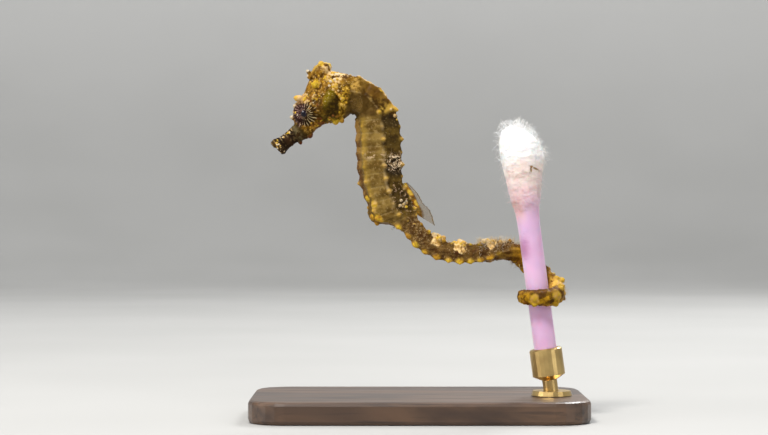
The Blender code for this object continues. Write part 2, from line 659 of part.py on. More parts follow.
def turned_rod(parts):
    """The stand's rod and its cup, turned about the stem's axis: up the outside, over the rim and
    down the bore to its floor."""
    length = (STEM_FOOT - stem_point(BASE_SIZE[2])).length + ROD_SINK
    bore = STEM_RADIUS + GAP
    profile = (
        (0, -length), (ROD_RADIUS, -length), (ROD_RADIUS, -CUP_SHOULDER[0]), (CUP_RADIUS, -CUP_SHOULDER[1]),
        (CUP_RADIUS, CUP_DEPTH - CUP_RIM), (CUP_RADIUS - CUP_RIM, CUP_DEPTH), (bore, CUP_DEPTH), (bore, 0),
        (0, 0),
    )
    mesh = bpy.data.meshes.new("stand_rod")
    edges = [(i, i + 1) for i in range(len(profile) - 1)]
    mesh.from_pydata([(radius, 0, height) for radius, height in profile], edges, [])
    rod = add_object("stand_rod", mesh, parts, "metal")
    rod.location = STEM_FOOT - stem_axis() * GAP
    rod.rotation_mode = "QUATERNION"
    rod.rotation_quaternion = stem_axis().to_track_quat("Z", "Y")
    screw = rod.modifiers.new("turn", "SCREW")
    screw.axis = "Z"
    screw.steps = screw.render_steps = ROUND_SIDES
    screw.use_merge_vertices = True
    screw.merge_threshold = GAP / 10
    screw.use_smooth_shade = False
    screw.use_normal_calculate = True
    return rod


def main():
    clear_scene()
    parts = collection("seahorse", True)
    tools = collection("cutters", False)
    body = Body()
    make_head(parts, tools)
    make_body(body, parts)
    make_dorsal_fin(body, parts)
    make_small_fins(body, parts)
    make_perch(parts, tools)
    make_stand(parts, tools)


main()
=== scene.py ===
"""The looks of a life-size young seahorse that grips a cotton bud with its tail, on its stand.

The animal is one skin: a fine loft along its own line and over its skull, joined with its orbits,
gill covers, crown and knobs, and remeshed as one surface. Each point of the skin knows its place
on the body: the ring it is on, how far it is round from the back to the belly, and how much of it
is knob. The markings are worked out from that. Shapes are made in millimetres and turned into
metres as their meshes are finished.
"""

import math

import bpy
import numpy as np
from mathutils import Matrix, Vector
from mathutils.bvhtree import BVHTree


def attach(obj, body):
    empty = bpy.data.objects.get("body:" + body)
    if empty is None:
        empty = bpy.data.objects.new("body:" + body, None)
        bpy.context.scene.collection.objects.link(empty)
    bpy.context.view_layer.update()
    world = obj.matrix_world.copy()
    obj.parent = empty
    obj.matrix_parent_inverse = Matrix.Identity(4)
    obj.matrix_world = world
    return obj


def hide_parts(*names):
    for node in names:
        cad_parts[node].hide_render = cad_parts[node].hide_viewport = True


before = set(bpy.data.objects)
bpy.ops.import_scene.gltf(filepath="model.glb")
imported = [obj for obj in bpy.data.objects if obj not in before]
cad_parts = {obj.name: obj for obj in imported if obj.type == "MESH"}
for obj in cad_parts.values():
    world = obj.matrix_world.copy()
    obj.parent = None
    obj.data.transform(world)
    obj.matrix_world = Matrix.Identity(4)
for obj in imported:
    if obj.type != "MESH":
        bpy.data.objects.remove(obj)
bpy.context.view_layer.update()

MM = 0.001

# ---- Driving dimensions, in millimetres ------------------------------------------------------

# The camera stands level in front of the animal's left side.
VIEW_CENTRE = (-3.73, 21.5)  # x and z
VIEW_DISTANCE = 235.0
VIEW_WIDTH = 83.03  # what the picture spans at the animal

# The cotton bud.
STEM_RADIUS = 1.2
STEM_LEAN = math.radians(7.6)
STEM_FOOT = np.array((13.83, -2.25, 5.4))
COTTON_START = 17.0
COTTON_LENGTH = 10.2
COTTON_RADIUS = 2.38
COTTON_CORE = 0.98  # the dense cotton's share of it, under the fibres
COTTON_END, COTTON_TOP = -0.30, 0.895  # where the dense cotton begins and ends, as shares of the length
# Sections of the dense cotton: the share of its length, its radius as a share, its lean to the right.
# Below 0 it thins out over the stem.
COTTON_RIBS = (
    (-0.30, 0.508, 0.0), (-0.15, 0.520, 0.0), (0.0, 0.57, 0.0), (0.11, 0.67, 0.0), (0.28, 0.79, 0.10),
    (0.44, 0.92, 0.22), (0.56, 0.98, 0.26), (0.67, 0.93, 0.12), (0.77, 0.77, -0.12), (0.84, 0.56, -0.36),
    (0.88, 0.30, -0.48), (0.895, 0.06, -0.52),
)
COTTON_FLECK = (21.35, 0.9)  # a brown fleck: its height and its place to the right
STEM_DARK_PATCH = 13.0  # the height of a dark mauve patch on the stem's left side
WOUND_FIBRES, LOOSE_FIBRES = 1100, 680
WOUND_THICKNESS, LOOSE_THICKNESS = 0.014, 0.012

# The animal's line: x, z, heading in degrees, half depth, half width, turn of the back.
BODY_STATIONS = (
    (-7.42, 34.80, 5, 2.22, 1.50, 0),
    (-5.45, 33.92, -43, 2.00, 1.52, 0),
    (-4.56, 32.21, -84, 2.36, 1.66, 0),
    (-4.32, 30.02, -88, 2.50, 1.76, 0),
    (-4.25, 28.04, -88, 2.50, 1.78, 0),
    (-4.12, 26.28, -83, 2.42, 1.72, 0),
    (-3.79, 24.52, -77, 2.28, 1.62, 0),
    (-3.32, 23.31, -72, 2.36, 1.58, 0),
    (-2.60, 21.77, -68, 2.42, 1.50, 0),
    (-1.73, 21.42, -64, 1.76, 1.34, 0),
    (-1.08, 20.90, -52, 1.32, 1.24, 0),
    (0.08, 19.50, -48, 1.22, 1.18, 0),
    (1.60, 18.34, -32, 1.18, 1.14, 0),
    (3.32, 17.80, -12, 1.15, 1.10, 0),
    (5.30, 17.65, -1, 1.12, 1.06, 0),
    (7.66, 17.80, 3, 1.05, 1.04, 10),
    (9.36, 17.88, -5, 1.02, 1.08, 38),
    (10.90, 17.46, -26, 1.00, 1.12, 72),
)
TRUNK_END_STATION = 9  # where the trunk ends and the tail begins
# The turn of the tail round the stem: the angle round it in degrees (90 is behind), the height of
# the tail's middle, half its depth, half its width.
COIL_STATIONS = (
    (90, 16.15, 1.00, 1.14),
    (45, 14.95, 0.74, 0.84),
    (0, 13.70, 0.88, 1.00),
    (-90, 12.98, 0.76, 0.90),
    (-180, 13.02, 0.52, 0.74),
    (-255, 12.95, 0.30, 0.36),
)
COIL_CLEARANCE = 0.1
COIL_RING = 23  # the first that winds round the stem
TRUNK_RINGS = 11
TAIL_RINGS = 33
RINGS = TRUNK_RINGS + TAIL_RINGS
LAST_TAIL_RING = 0.42  # its length, as a share of the first one of the tail

# A section's corners from the back round to the belly, as shares of half width and half depth.
TRUNK_CORNERS = ((0.0, 0.90), (0.56, 0.96), (1.0, 0.20), (0.74, -0.68), (0.0, -1.0))
TAIL_CORNERS = ((0.0, 0.88), (0.78, 0.84), (0.96, 0.0), (0.80, -0.82), (0.0, -0.92))
COIL_CORNERS = ((0.0, 0.97), (0.70, 0.69), (1.0, 0.0), (0.70, -0.67), (0.0, -0.95))
CORNER_MIX_RINGS = 3.0  # how many rings it takes to go over from the trunk's corners to the tail's
PLATE_HOLLOW = 0.02  # how far the plates between the corners sink in
VALLEY = 0.968  # how wide the body is between two rings, as a share of its width at a ring
# For each corner: an ordinary knob's height, a big one's, and the rings with a big one.
KNOBS = (
    (0.0, 0.0, ()),
    (0.13, 0.33, (2, 4, 6, 8, 10, 13, 15, 17, 19, 22, 24, 26, 28, 30, 32, 34, 36)),
    (0.11, 0.32, (2, 4, 6, 7, 8, 10)),
    (0.24, 0.32, (7, 9, 11, 13, 15, 17, 20, 22)),
    (0.05, 0.30, (7,)),
)
KNOB_RADIUS = (0.38, 0.50)  # of an ordinary knob and of a big one
COIL_KNOB_RINGS = (25, 27, 29, 31, 33, 36, 39)  # the big ones on the turn's outer corners
KNOB_TAPER_RINGS = 9.0  # the last rings of the tail, where the knobs get smaller
LEAST_KNOB = 0.02
# Threads of algae: from which ring to which, how far round, how many, how long and how thick.
ALGAE = (
    (19.3, 24.6, 0.46, 1200, 0.62, 0.023), (14.5, 19.5, 0.40, 260, 0.26, 0.016),
    (26.5, 31.5, 0.50, 220, 0.40, 0.017), (0.2, 3.0, 0.30, 110, 0.20, 0.016),
    (8.0, 11.5, 0.25, 80, 0.24, 0.016), (4.0, 8.0, 0.30, 50, 0.16, 0.014),
)
BEADS_END = 21.6  # the ring where the beads under the tail end
BEAD_SWELL = 0.34  # how much wider they are than other knobs
# Patches of lumpy pale skin over the back: the ring, how far it goes along and round, how many lumps.
SADDLES = (
    (14.7, 0.50, 0.33, 34), (17.45, 0.56, 0.40, 42), (20.0, 0.16, 0.12, 8),
    (20.7, 0.38, 0.38, 26), (22.3, 0.6, 0.22, 10),
)
FLANK_PATCH = (9.75, 0.35, 12)  # a small pale patch low on each side: its ring, share round and lumps
CREST_LUMPS = 70
# Dark bars over the back of the trunk: the ring, how far each goes along, and how dark it is.
BACK_BARS = ((3.1, 0.8, 0.75), (4.7, 0.9, 0.35), (6.6, 1.4, 0.95), (9.2, 1.7, 0.55))

# The head's own frame: u from the mouth back along the snout, v towards the crown.
SNOUT_TIP = np.array((-15.19, 0.0, 29.01))
HEAD_HEADING = math.radians(36.3)
HEAD_BOTTOM = 27.0  # the height above which skin can be the head's
NAPE_BLEND = 0.5  # the length over which its markings go over into the neck's
# Its sections: the throat's u and v, the crown's u and v, half the width, and how narrow the crown is.
HEAD_RIBS = (
    (0.34, -0.16, 0.16, 0.30, 0.22, 0.0),
    (0.02, -0.62, -0.28, 0.70, 0.56, 0.0),
    (0.00, -0.82, -0.34, 0.92, 0.74, 0.0),
    (0.32, -0.92, 0.06, 1.04, 0.78, 0.0),
    (0.78, -0.78, 0.66, 0.90, 0.68, 0.0),
    (1.60, -0.72, 1.52, 0.86, 0.66, 0.0),
    (2.38, -0.84, 2.28, 0.94, 0.72, 0.0),
    (3.05, -1.04, 2.88, 1.02, 0.84, 0.1),
    (3.65, -1.06, 3.28, 1.60, 1.04, 0.25),
    (4.25, -0.92, 3.76, 2.28, 1.24, 0.35),
    (4.85, -0.82, 4.44, 2.82, 1.40, 0.42),
    (5.55, -0.94, 5.38, 3.00, 1.52, 0.48),
    (6.25, -1.20, 6.32, 3.48, 1.60, 0.50),
    (6.85, -1.50, 7.30, 4.04, 1.68, 0.48),
    (7.45, -1.68, 8.40, 4.10, 1.72, 0.42),
    (8.08, -1.72, 9.50, 3.34, 1.68, 0.30),
    (8.66, -1.74, 10.86, 1.92, 1.50, 0.12),
)
EYE_PLACE = (4.46, 1.24, 0.94)  # u, v and side, as for the places that follow
EYE_RADIUS = 0.80
EYE_BULGE = 0.10  # how far its lens stands out, as a share of the radius
EYE_SPOKES = 23
ORBIT_RADIUS = 1.14
ORBIT_INSET = 0.32
GILL_COVER_PLACE = (7.20, 0.30, 0.66)
GILL_COVER_REACH = (1.42, 1.90, 1.24)
CHEEK_PLACE = (-9.40, 33.75)  # x and z of the dark patch
CHEEK_REACH = (0.78, 1.38)
CORONET_PLACE = (8.62, 3.86)
CORONET_LEAN = math.radians(62)
CORONET_HEIGHT = 1.12
CORONET_POINTS = 5
# The crown's sections: height, radius, depth of the valleys between its points, slope forward.
CORONET_RIBS = (
    (-0.9, 0.95, 0.0, 0.0), (0.0, 0.98, 0.02, 0.0), (0.36, 0.86, 0.05, -0.05),
    (0.66, 0.74, 0.10, -0.08), (0.88, 0.66, 0.15, -0.10), (0.98, 0.50, 0.18, -0.12),
    (0.96, 0.30, 0.12, -0.12), (0.90, 0.04, 0.0, 0.0),
)
# Spines of the head: root and point as u, v and side, the root's radius, the point's share of it, and
# the tone of its tip, from 0 for rusty brown through 0.5 for yellow to 1 for cream white.
HEAD_SPINES = (
    ((3.60, 1.30, 0.0), (2.98, 1.98, 0.0), 0.38, 0.60, 0.95),
    ((5.40, 2.50, 0.40), (4.58, 3.36, 0.62), 0.46, 0.58, 0.62),
    ((4.40, 2.20, 0.50), (4.06, 2.72, 0.66), 0.26, 0.60, 0.95),
    ((7.60, 4.10, 0.30), (7.46, 4.98, 0.42), 0.30, 0.70, 1.0),
    ((7.30, 4.00, 0.34), (7.12, 4.46, 0.44), 0.20, 0.70, 1.0),
    ((7.20, 2.95, 0.80), (7.36, 3.24, 1.26), 0.50, 0.62, 0.56),
    ((6.20, 1.90, 1.10), (6.26, 2.10, 1.60), 0.28, 0.50, 0.7),
    ((6.75, -0.90, 0.80), (6.66, -1.74, 1.00), 0.46, 0.62, 0.55),
    ((7.30, -1.20, 0.80), (7.34, -1.98, 0.98), 0.42, 0.62, 0.4),
    ((5.42, -0.30, 0.50), (5.42, -0.86, 0.62), 0.32, 0.60, 0.05),
    ((3.60, -0.60, 0.28), (3.62, -1.26, 0.34), 0.40, 0.62, 0.0),
    ((2.40, -0.50, 0.22), (2.26, -1.22, 0.26), 0.30, 0.60, 0.0),
    ((8.95, 1.60, 1.10), (9.05, 1.70, 1.62), 0.24, 0.60, 0.62),
    ((8.60, 0.10, 1.10), (8.75, 0.05, 1.66), 0.22, 0.60, 0.55),
)
# Scatters of small warts on the head: the middle as u and v, how far they spread, how many, their tone.
HEAD_WARTS = (
    (7.7, 3.3, 0.75, 0.55, 44, 0.52), (9.3, 2.7, 0.75, 0.70, 54, 0.72),
    (8.8, 0.7, 0.32, 1.20, 60, 0.54), (5.6, 2.6, 0.50, 0.40, 30, 0.60),
    (6.5, -1.1, 0.90, 0.35, 44, 0.40), (6.3, 1.9, 0.90, 0.80, 44, 0.52),
    (4.3, -0.4, 0.60, 0.30, 22, 0.42), (1.9, 0.66, 1.00, 0.14, 26, 0.90),
    (0.3, 0.1, 0.26, 0.70, 30, 0.78), (5.2, -0.4, 0.50, 0.30, 20, 0.20),
    (3.62, 1.95, 0.10, 0.50, 12, 0.85),
)
# Single lumps: ring, share round from the back, side (1 is the left, and up on the turn), radius,
# how far it stands out as a share of that, and tone.
BODY_LUMPS = (
    (19.95, 0.05, 1, 0.42, 0.30, 0.90), (20.9, 0.16, 1, 0.36, 0.0, 0.56),
    (22.0, 0.10, 1, 0.27, 0.05, 0.84), (22.8, 0.14, 1, 0.27, 0.0, 0.60),
    (23.5, 0.16, 1, 0.24, 0.0, 0.66), (21.6, 0.30, 1, 0.20, -0.25, 0.78),
    (12.1, 0.42, 1, 0.16, -0.25, 0.66), (8.6, 0.92, 1, 0.34, -0.40, 0.56),
    (9.2, 0.95, -1, 0.34, -0.35, 0.46), (9.9, 0.92, 1, 0.34, -0.40, 0.42),
    (10.4, 0.96, 1, 0.28, -0.25, 0.36), (9.1, 0.80, 1, 0.40, -0.62, 0.60),
    (10.1, 0.80, 1, 0.42, -0.64, 0.44), (26.6, 0.20, 1, 0.26, -0.25, 0.45),
    (28.3, 0.22, 1, 0.24, -0.25, 0.58), (29.4, 0.40, 1, 0.30, -0.3, 0.60),
    (29.7, 0.18, 1, 0.27, 0.62, 0.53), (30.6, 0.40, -1, 0.34, -0.3, 0.30),
    (31.2, 0.42, 1, 0.36, -0.4, 0.62), (32.0, 0.30, 1, 0.30, -0.4, 0.60),
    (33.3, 0.10, 1, 0.54, -0.68, 0.61), (33.2, 0.38, -1, 0.36, -0.25, 0.54),
    (34.6, 0.40, -1, 0.24, -0.4, 0.32), (36.0, 0.12, -1, 0.50, -0.70, 0.60),
    (36.1, 0.38, -1, 0.34, -0.10, 0.54), (38.4, 0.20, 1, 0.28, -0.45, 0.34),
    (37.6, 0.30, -1, 0.24, -0.4, 0.20),
)

# How finely the skin is made.
AROUND = 112  # points round a section
SECTIONS_PER_RING = 20
HEAD_SECTIONS = 150
SKIN_VOXEL = 0.07
SKIN_TRIANGLES = 194000  # the most that are kept
SKIN_DEPTH = 0.66  # how deep its colours are
STRAND_PATCH = (0.001, 0.003)  # what a hair takes up on its map, for one side's width and for its length
MASKS = ("ring", "around", "knob", "head", "tone", "over")  # what each point of the skin knows

# Fins.
DORSAL_FIN_RINGS = (8.1, 11.5)
DORSAL_FIN_HEIGHT = 1.20
DORSAL_FIN_SWEEP = 2.15
DORSAL_FIN_SPOTS = ((0.04, 0.45), (0.28, 0.50), (0.58, 0.55))  # yellow spots: along the fin, and out
PECTORAL_FIN_ROOT = (-7.15, 33.95)
PECTORAL_FIN_SIDE = 1.47
PECTORAL_FIN_AXIS = (0.86, 0.36, -0.34)  # where its middle ray points, and below where its face looks
PECTORAL_FIN_OUT = (-0.36, 0.93, 0.0)
PECTORAL_FIN_LENGTH = 1.35
PECTORAL_FIN_SPREAD = math.radians(100)
ANAL_FIN_RING = 11.3
ANAL_FIN_LENGTH = 0.32
ANAL_FIN_SPREAD = math.radians(50)


# ---- Shader expressions ----------------------------------------------------------------------


class Value:
    """One output of a shader tree. Arithmetic on it adds Math nodes."""

    def __init__(self, tree, socket):
        self.tree, self.socket = tree, socket

    def node(self, kind, settings=None, sockets=None, output=0):
        """Adds a node, sets it up, joins its sockets and gives one of its outputs."""
        made = self.tree.nodes.new(kind)
        for name, value in (settings or {}).items():
            if name == "stops":
                set_stops(made.color_ramp, value)
            else:
                setattr(made, name, value)
        for name, value in (sockets or {}).items():
            if isinstance(value, Value):
                self.tree.links.new(value.socket, made.inputs[name])
            else:
                made.inputs[name].default_value = value
        return Value(self.tree, made.outputs[output])

    def math(self, operation, *values):
        return self.node("ShaderNodeMath", {"operation": operation}, dict(enumerate(values)))

    def __add__(self, other):
        return self.math("ADD", self, other)

    __radd__ = __add__

    def __sub__(self, other):
        return self.math("SUBTRACT", self, other)

    def __rsub__(self, other):
        return self.math("SUBTRACT", other, self)

    def __mul__(self, other):
        return self.math("MULTIPLY", self, other)

    __rmul__ = __mul__

    def __truediv__(self, other):
        return self.math("DIVIDE", self, other)

    def dot(self, vector):
        """The length of this vector along another."""
        settings = {"operation": "DOT_PRODUCT"}
        return self.node("ShaderNodeVectorMath", settings, {0: self, 1: vector}, "Value")

    def step(self, low, high):
        """0 below low, 1 above high and smooth between. With low above high it falls."""
        rising = low < high
        sockets = {0: self, 1: min(low, high), 2: max(low, high), 3: 0.0 if rising else 1.0}
        sockets[4] = 1.0 if rising else 0.0
        return self.node("ShaderNodeMapRange", {"interpolation_type": "SMOOTHSTEP"}, sockets)

    def near(self, centre, reach):
        """1 at centre, falling smoothly to 0 at reach on both sides."""
        return self.math("ABSOLUTE", self - centre).step(reach, 0.0)

    def over(self, base, colour):
        """colour where this mask is 1, and base where it is 0."""
        sockets = {0: self, 6: skin_shade(base), 7: skin_shade(colour)}
        return self.node("ShaderNodeMix", {"data_type": "RGBA"}, sockets, 2)

    def ramp(self, rows):
        """A colour of the skin for this number, from rows of a place and its red, green and blue."""
        stops = [(place, skin_shade(tuple(colour))) for place, *colour in rows]
        return self.node("ShaderNodeValToRGB", {"stops": stops}, {0: self})

    def ragged(self, amount, noise):
        """This number, wavering by an amount of noise."""
        return self + amount * (noise - 0.5)

    def wave(self):
        return self.math("SINE", self)

    def within(self):
        """This number's distance from the middle of its whole-number step, from -0.5 to 0.5."""
        return self.math("FRACT", self) - 0.5


def set_stops(ramp, stops):
    """Gives a colour ramp its stops, each a place and a colour."""
    while len(ramp.elements) < len(stops):
        ramp.elements.new(0.5)
    for element, (place, colour) in zip(ramp.elements, stops):
        element.position, element.color = place, colour


def rgb(red, green, blue):
    return (red, green, blue, 1.0)


def skin_shade(colour):
    """Three bare numbers are a colour of the skin, and get the skin's depth. The rest stays as it is."""
    if isinstance(colour, tuple) and len(colour) == 3:
        return (*(part * SKIN_DEPTH for part in colour), 1.0)
    return colour


def from_middle(across, up):
    """How far a place is from the middle, from how far it is across and up."""
    square = across * across + up * up
    return square.math("POWER", square, 0.5)


def spokes(across, up, amount, noise):
    """Waves round the middle, as many as the eye has spokes, that noise bends by an amount."""
    return (up.math("ARCTAN2", up, across) * EYE_SPOKES).ragged(amount, noise).wave()


class Finish:
    """A material with one Principled shader."""

    def __init__(self, name, **constants):
        self.material = bpy.data.materials.new(name)
        self.material.use_nodes = True
        self.tree = self.material.node_tree
        self.shader = self.tree.nodes["Principled BSDF"]
        for socket, value in constants.items():
            self.shader.inputs[socket.replace("_", " ")].default_value = value
        self.place = Value(self.tree, self.tree.nodes.new("ShaderNodeTexCoord").outputs["Object"])

    def attribute(self, name):
        return self.place.node("ShaderNodeAttribute", {"attribute_name": name}, output="Fac")

    def noise(self, size, detail=2.0, roughness=0.55, distortion=0.0, stretch=None):
        """Noise with features of a size in millimetres, from about 0.25 to 0.75."""
        where = self.place
        if stretch:
            where = where.node("ShaderNodeVectorMath", {"operation": "MULTIPLY"}, {0: where, 1: stretch})
        sockets = {"Vector": where, "Scale": 0.5 / (size * MM), "Detail": detail}
        sockets |= {"Roughness": roughness, "Distortion": distortion}
        return self.place.node("ShaderNodeTexNoise", None, sockets)

    def along(self, direction, origin=(0.0, 0.0, 0.0)):
        """How far a point is from origin along direction, in millimetres."""
        offset = float(np.dot(origin, direction))
        return self.place.dot(tuple(direction)) * (1 / MM) - offset

    def feed(self, **sockets):
        for name, value in sockets.items():
            self.tree.links.new(value.socket, self.shader.inputs[name.replace("_", " ")])
        return self

    def bump(self, height, distance, strength=1.0):
        """Relief from a height of 0 to 1 that stands for a distance in millimetres."""
        sockets = {"Height": height, "Distance": distance * MM, "Strength": strength}
        return self.feed(Normal=self.place.node("ShaderNodeBump", None, sockets))


# ---- Curves and lofts ------------------------------------------------------------------------


def smooth_curve(knots, values, places):
    """A natural cubic spline through values at knots, read at places."""
    knots = np.asarray(knots, float)
    values = np.asarray(values, float).reshape(len(knots), -1)
    count = len(knots)
    step = np.diff(knots)
    slope = np.diff(values, axis=0) / step[:, None]
    system = np.eye(count)
    right = np.zeros_like(values)
    for i in range(1, count - 1):
        system[i, i - 1 : i + 2] = step[i - 1], 2 * (step[i - 1] + step[i]), step[i]
        right[i] = 6 * (slope[i] - slope[i - 1])
    bend = np.linalg.solve(system, right)
    places = np.asarray(places, float)
    k = np.clip(np.searchsorted(knots, places) - 1, 0, count - 2)
    h = step[k][:, None]
    before = (knots[k + 1] - places)[:, None]
    after = (places - knots[k])[:, None]
    return (
        (bend[k] * before**3 + bend[k + 1] * after**3) / (6 * h)
        + (values[k] / h - bend[k] * h / 6) * before
        + (values[k + 1] / h - bend[k + 1] * h / 6) * after
    )


def unit(vectors):
    return vectors / np.maximum(np.linalg.norm(vectors, axis=-1, keepdims=True), 1e-9)


def ease(x):
    """A smooth step from 0 to 1."""
    x = np.clip(x, 0.0, 1.0)
    return x * x * (3 - 2 * x)


def hump(x, centre, reach):
    """A bell curve, 1 at centre."""
    return np.exp(-(((x - centre) / reach) ** 2))


def clamp(x):
    return min(max(x, 0.0), 1.0)


def circle(count):
    """That many angles, evenly round."""
    return np.linspace(0, 2 * math.pi, count, endpoint=False)


def circle_points(angles, first, second):
    """Points of a circle of radius 1, at angles from the first direction towards the second."""
    return np.outer(np.cos(angles), first) + np.outer(np.sin(angles), second)


def axes_at(angle):
    """The directions along and across a line that rises at an angle in the body's plane."""
    cos, sin = math.cos(angle), math.sin(angle)
    return np.array((cos, 0.0, sin)), np.array((-sin, 0.0, cos))


def quads_between(rows, around):
    """The quads of a grid of points that closes round on itself, and its rows of point numbers."""
    index = np.arange(rows * around).reshape(rows, around)
    following = np.roll(index, -1, axis=1)
    quads = np.stack([index[:-1], following[:-1], following[1:], index[1:]], axis=-1)
    return quads.reshape(-1, 4), index


RIGHT, FORWARD, UP = np.eye(3)
STEM_SIDE, STEM_AXIS = axes_at(STEM_LEAN)
HEAD_ALONG, HEAD_UP = axes_at(HEAD_HEADING)
CORONET_AXIS = axes_at(CORONET_LEAN)[0]


def stem_point(height):
    """The point of the stem's axis at that height above the floor."""
    return STEM_FOOT + STEM_AXIS * ((height - STEM_FOOT[2]) / STEM_AXIS[2])


def body_table():
    """Each station's middle, back direction, half depth and half width, one row each."""
    rows = []
    for x, z, heading, depth, width, turn in BODY_STATIONS:
        up, turn = axes_at(math.radians(heading))[1], math.radians(turn)
        rows.append((x, 0.0, z, *(up * math.cos(turn) + FORWARD * math.sin(turn)), depth, width))
    knots, values = [-c[0] for c in COIL_STATIONS], [c[1:] for c in COIL_STATIONS]
    turns = np.arange(knots[0], knots[-1] + 1, 15.0)
    for angle, (height, depth, width) in zip(turns, smooth_curve(knots, values, turns)):
        out = np.array((math.cos(math.radians(-angle)), math.sin(math.radians(-angle)), 0.0))
        middle = stem_point(height) + out * (STEM_RADIUS + COIL_CLEARANCE + depth * 0.9)
        rows.append((*middle, *out, depth, width))
    return np.array(rows)


class Body:
    """The animal's line from the neck to the tail's tip, read in rings."""

    def __init__(self):
        table = body_table()
        chords = np.linalg.norm(np.diff(table[:, :3], axis=0), axis=1)
        knots = np.concatenate([[0], np.cumsum(chords)])
        dense = np.linspace(0, knots[-1], 3000)
        self.rows = smooth_curve(knots, table, dense)
        line = self.rows[:, :3]
        self.along = np.concatenate([[0], np.cumsum(np.linalg.norm(np.diff(line, axis=0), axis=1))])
        trunk_end = np.interp(knots[TRUNK_END_STATION], dense, self.along)
        shares = np.linspace(1.0, LAST_TAIL_RING, TAIL_RINGS)
        tail = np.cumsum(shares) / shares.sum() * (self.along[-1] - trunk_end)
        self.edges = np.concatenate([np.linspace(0, trunk_end, TRUNK_RINGS + 1), trunk_end + tail])
        self.tangents = np.gradient(line, self.along, axis=0)

    def frames(self, rings):
        """Middles, back and left directions, ways along, half depths and half widths."""
        places = np.interp(rings, np.arange(len(self.edges)), self.edges)
        rows = np.column_stack([np.interp(places, self.along, column) for column in self.rows.T])
        tangents = np.column_stack([np.interp(places, self.along, t) for t in self.tangents.T])
        backs = unit(rows[:, 3:6])
        lefts = unit(np.cross(tangents, backs))
        return rows[:, :3], backs, lefts, unit(tangents), rows[:, 6], rows[:, 7]


def section_controls(rings):
    """The control points of each ring's section, all round it: corners and the plates between."""
    mix = np.clip((rings - TRUNK_RINGS) / CORNER_MIX_RINGS + 0.5, 0, 1)[:, None, None]
    corners = np.array(TRUNK_CORNERS) * (1 - mix) + np.array(TAIL_CORNERS) * mix
    coil = ease((rings - COIL_RING + 5) / 5)[:, None, None]
    corners = corners * (1 - coil) + np.array(COIL_CORNERS) * coil
    middles = (corners[:, :-1] + corners[:, 1:]) / 2 * (1 - PLATE_HOLLOW)
    half = np.zeros((len(rings), 9, 2))
    half[:, ::2], half[:, 1::2] = corners, middles
    mirrored = half[:, -2:0:-1] * (-1, 1)
    return np.concatenate([half, mirrored], axis=1)


def round_weights(controls, samples):
    """Weights that draw a closed smooth curve through a ring of control points."""
    tripled = np.tile(np.eye(controls), (3, 1))
    places = controls + np.arange(samples) * controls / samples
    return smooth_curve(np.arange(3 * controls), tripled, places)


def ring_swell(rings):
    """How a ring bulges at its middle and falls in between it and the next."""
    place = np.mod(rings, 1.0) - 0.5
    share = 0.5 * np.cos(math.pi * place) ** 2 + 0.5 * hump(place, 0.0, 0.15)
    return VALLEY + (1 - VALLEY) * share


def knob_list(body):
    """Each knob of the body: its root, its outward direction, its height, its radius, its ring."""
    knobs = []
    rings = np.arange(RINGS) + 0.5
    middles, backs, lefts, _, depths, widths = body.frames(rings)
    controls = section_controls(rings)
    for i, ring in enumerate(rings):
        shrink = min(1.0, (RINGS - ring) / KNOB_TAPER_RINGS)
        mix = clamp((ring - TRUNK_RINGS) / CORNER_MIX_RINGS + 0.5)
        belly_rise = clamp((ring - 2.5) / 1.5)
        on_coil = ring > COIL_RING
        fades = (1.0, 1.0, 1.0 - mix, belly_rise, belly_rise * (1.0 - mix))
        for corner, (small, big, big_rings) in enumerate(KNOBS):
            is_big = int(ring) in (COIL_KNOB_RINGS if on_coil and corner == 1 else big_rings)
            modest = 0.35 if on_coil else (0.4 + 0.6 * mix if corner in (2, 3) else 1.0)
            height = (big if is_big else small * modest) * shrink * fades[corner]
            if corner == 3 and not on_coil:
                height *= clamp(BEADS_END - ring)
            if height < LEAST_KNOB:
                continue
            for side in (2 * corner, -2 * corner) if corner in (1, 2, 3) else (2 * corner,):
                x, y = controls[i, side]
                offset = lefts[i] * x * widths[i] + backs[i] * y * depths[i]
                outward = unit(offset)
                if on_coil:
                    outward = outward - backs[i] * min(0.0, outward @ backs[i])
                radius = KNOB_RADIUS[is_big] * (0.6 + 0.4 * shrink) * (1.0 - 0.12 * mix)
                if corner == 3 and not on_coil:
                    radius += BEAD_SWELL * mix
                if on_coil:
                    height *= 0.8 if outward[2] < 0 or ring < 32 else 0.3
                knobs.append((middles[i] + offset, outward, height, radius, ring))
    return knobs


def body_grid(body):
    """Points of the body's surface, and at each its ring, its share from back to belly and its knob."""
    last = RINGS - 0.05
    rings = np.linspace(0, last, int(last * SECTIONS_PER_RING))
    middles, backs, lefts, ways, depths, widths = body.frames(rings)
    controls = section_controls(rings)
    shape = np.einsum("sc,rcx->rsx", round_weights(controls.shape[1], AROUND), controls)
    swell = ring_swell(rings)[:, None, None]
    offsets = (
        lefts[:, None] * shape[:, :, :1] * widths[:, None, None]
        + backs[:, None] * shape[:, :, 1:] * depths[:, None, None]
    ) * swell
    points = middles[:, None] + offsets
    raised = np.zeros(points.shape)
    mask = np.zeros(points.shape[:2])
    for root, outward, height, radius, ring in knob_list(body):
        rows = np.abs(rings - ring) < 1.2
        distance = np.linalg.norm(points[rows] - root, axis=2) / radius
        blunt = 1.7 if ring < TRUNK_RINGS else 2.4
        bulge = np.exp(-((1.5 * distance) ** blunt))
        raised[rows] += bulge[:, :, None] * outward * height
        mask[rows] = np.maximum(mask[rows], bulge * min(1.0, 0.45 + height * 2))
    points = points + raised
    # The first section goes on into the head, where the skull covers it.
    start = points[0] - ways[0] * 0.9 + (middles[0] - points[0]) * 0.12
    points = np.concatenate([start[None], points])
    rings, mask = np.concatenate([[-0.6], rings]), np.concatenate([mask[:1], mask])
    around = 1 - np.abs(np.linspace(0, 2, AROUND, endpoint=False) - 1)
    return points, rings, around, mask


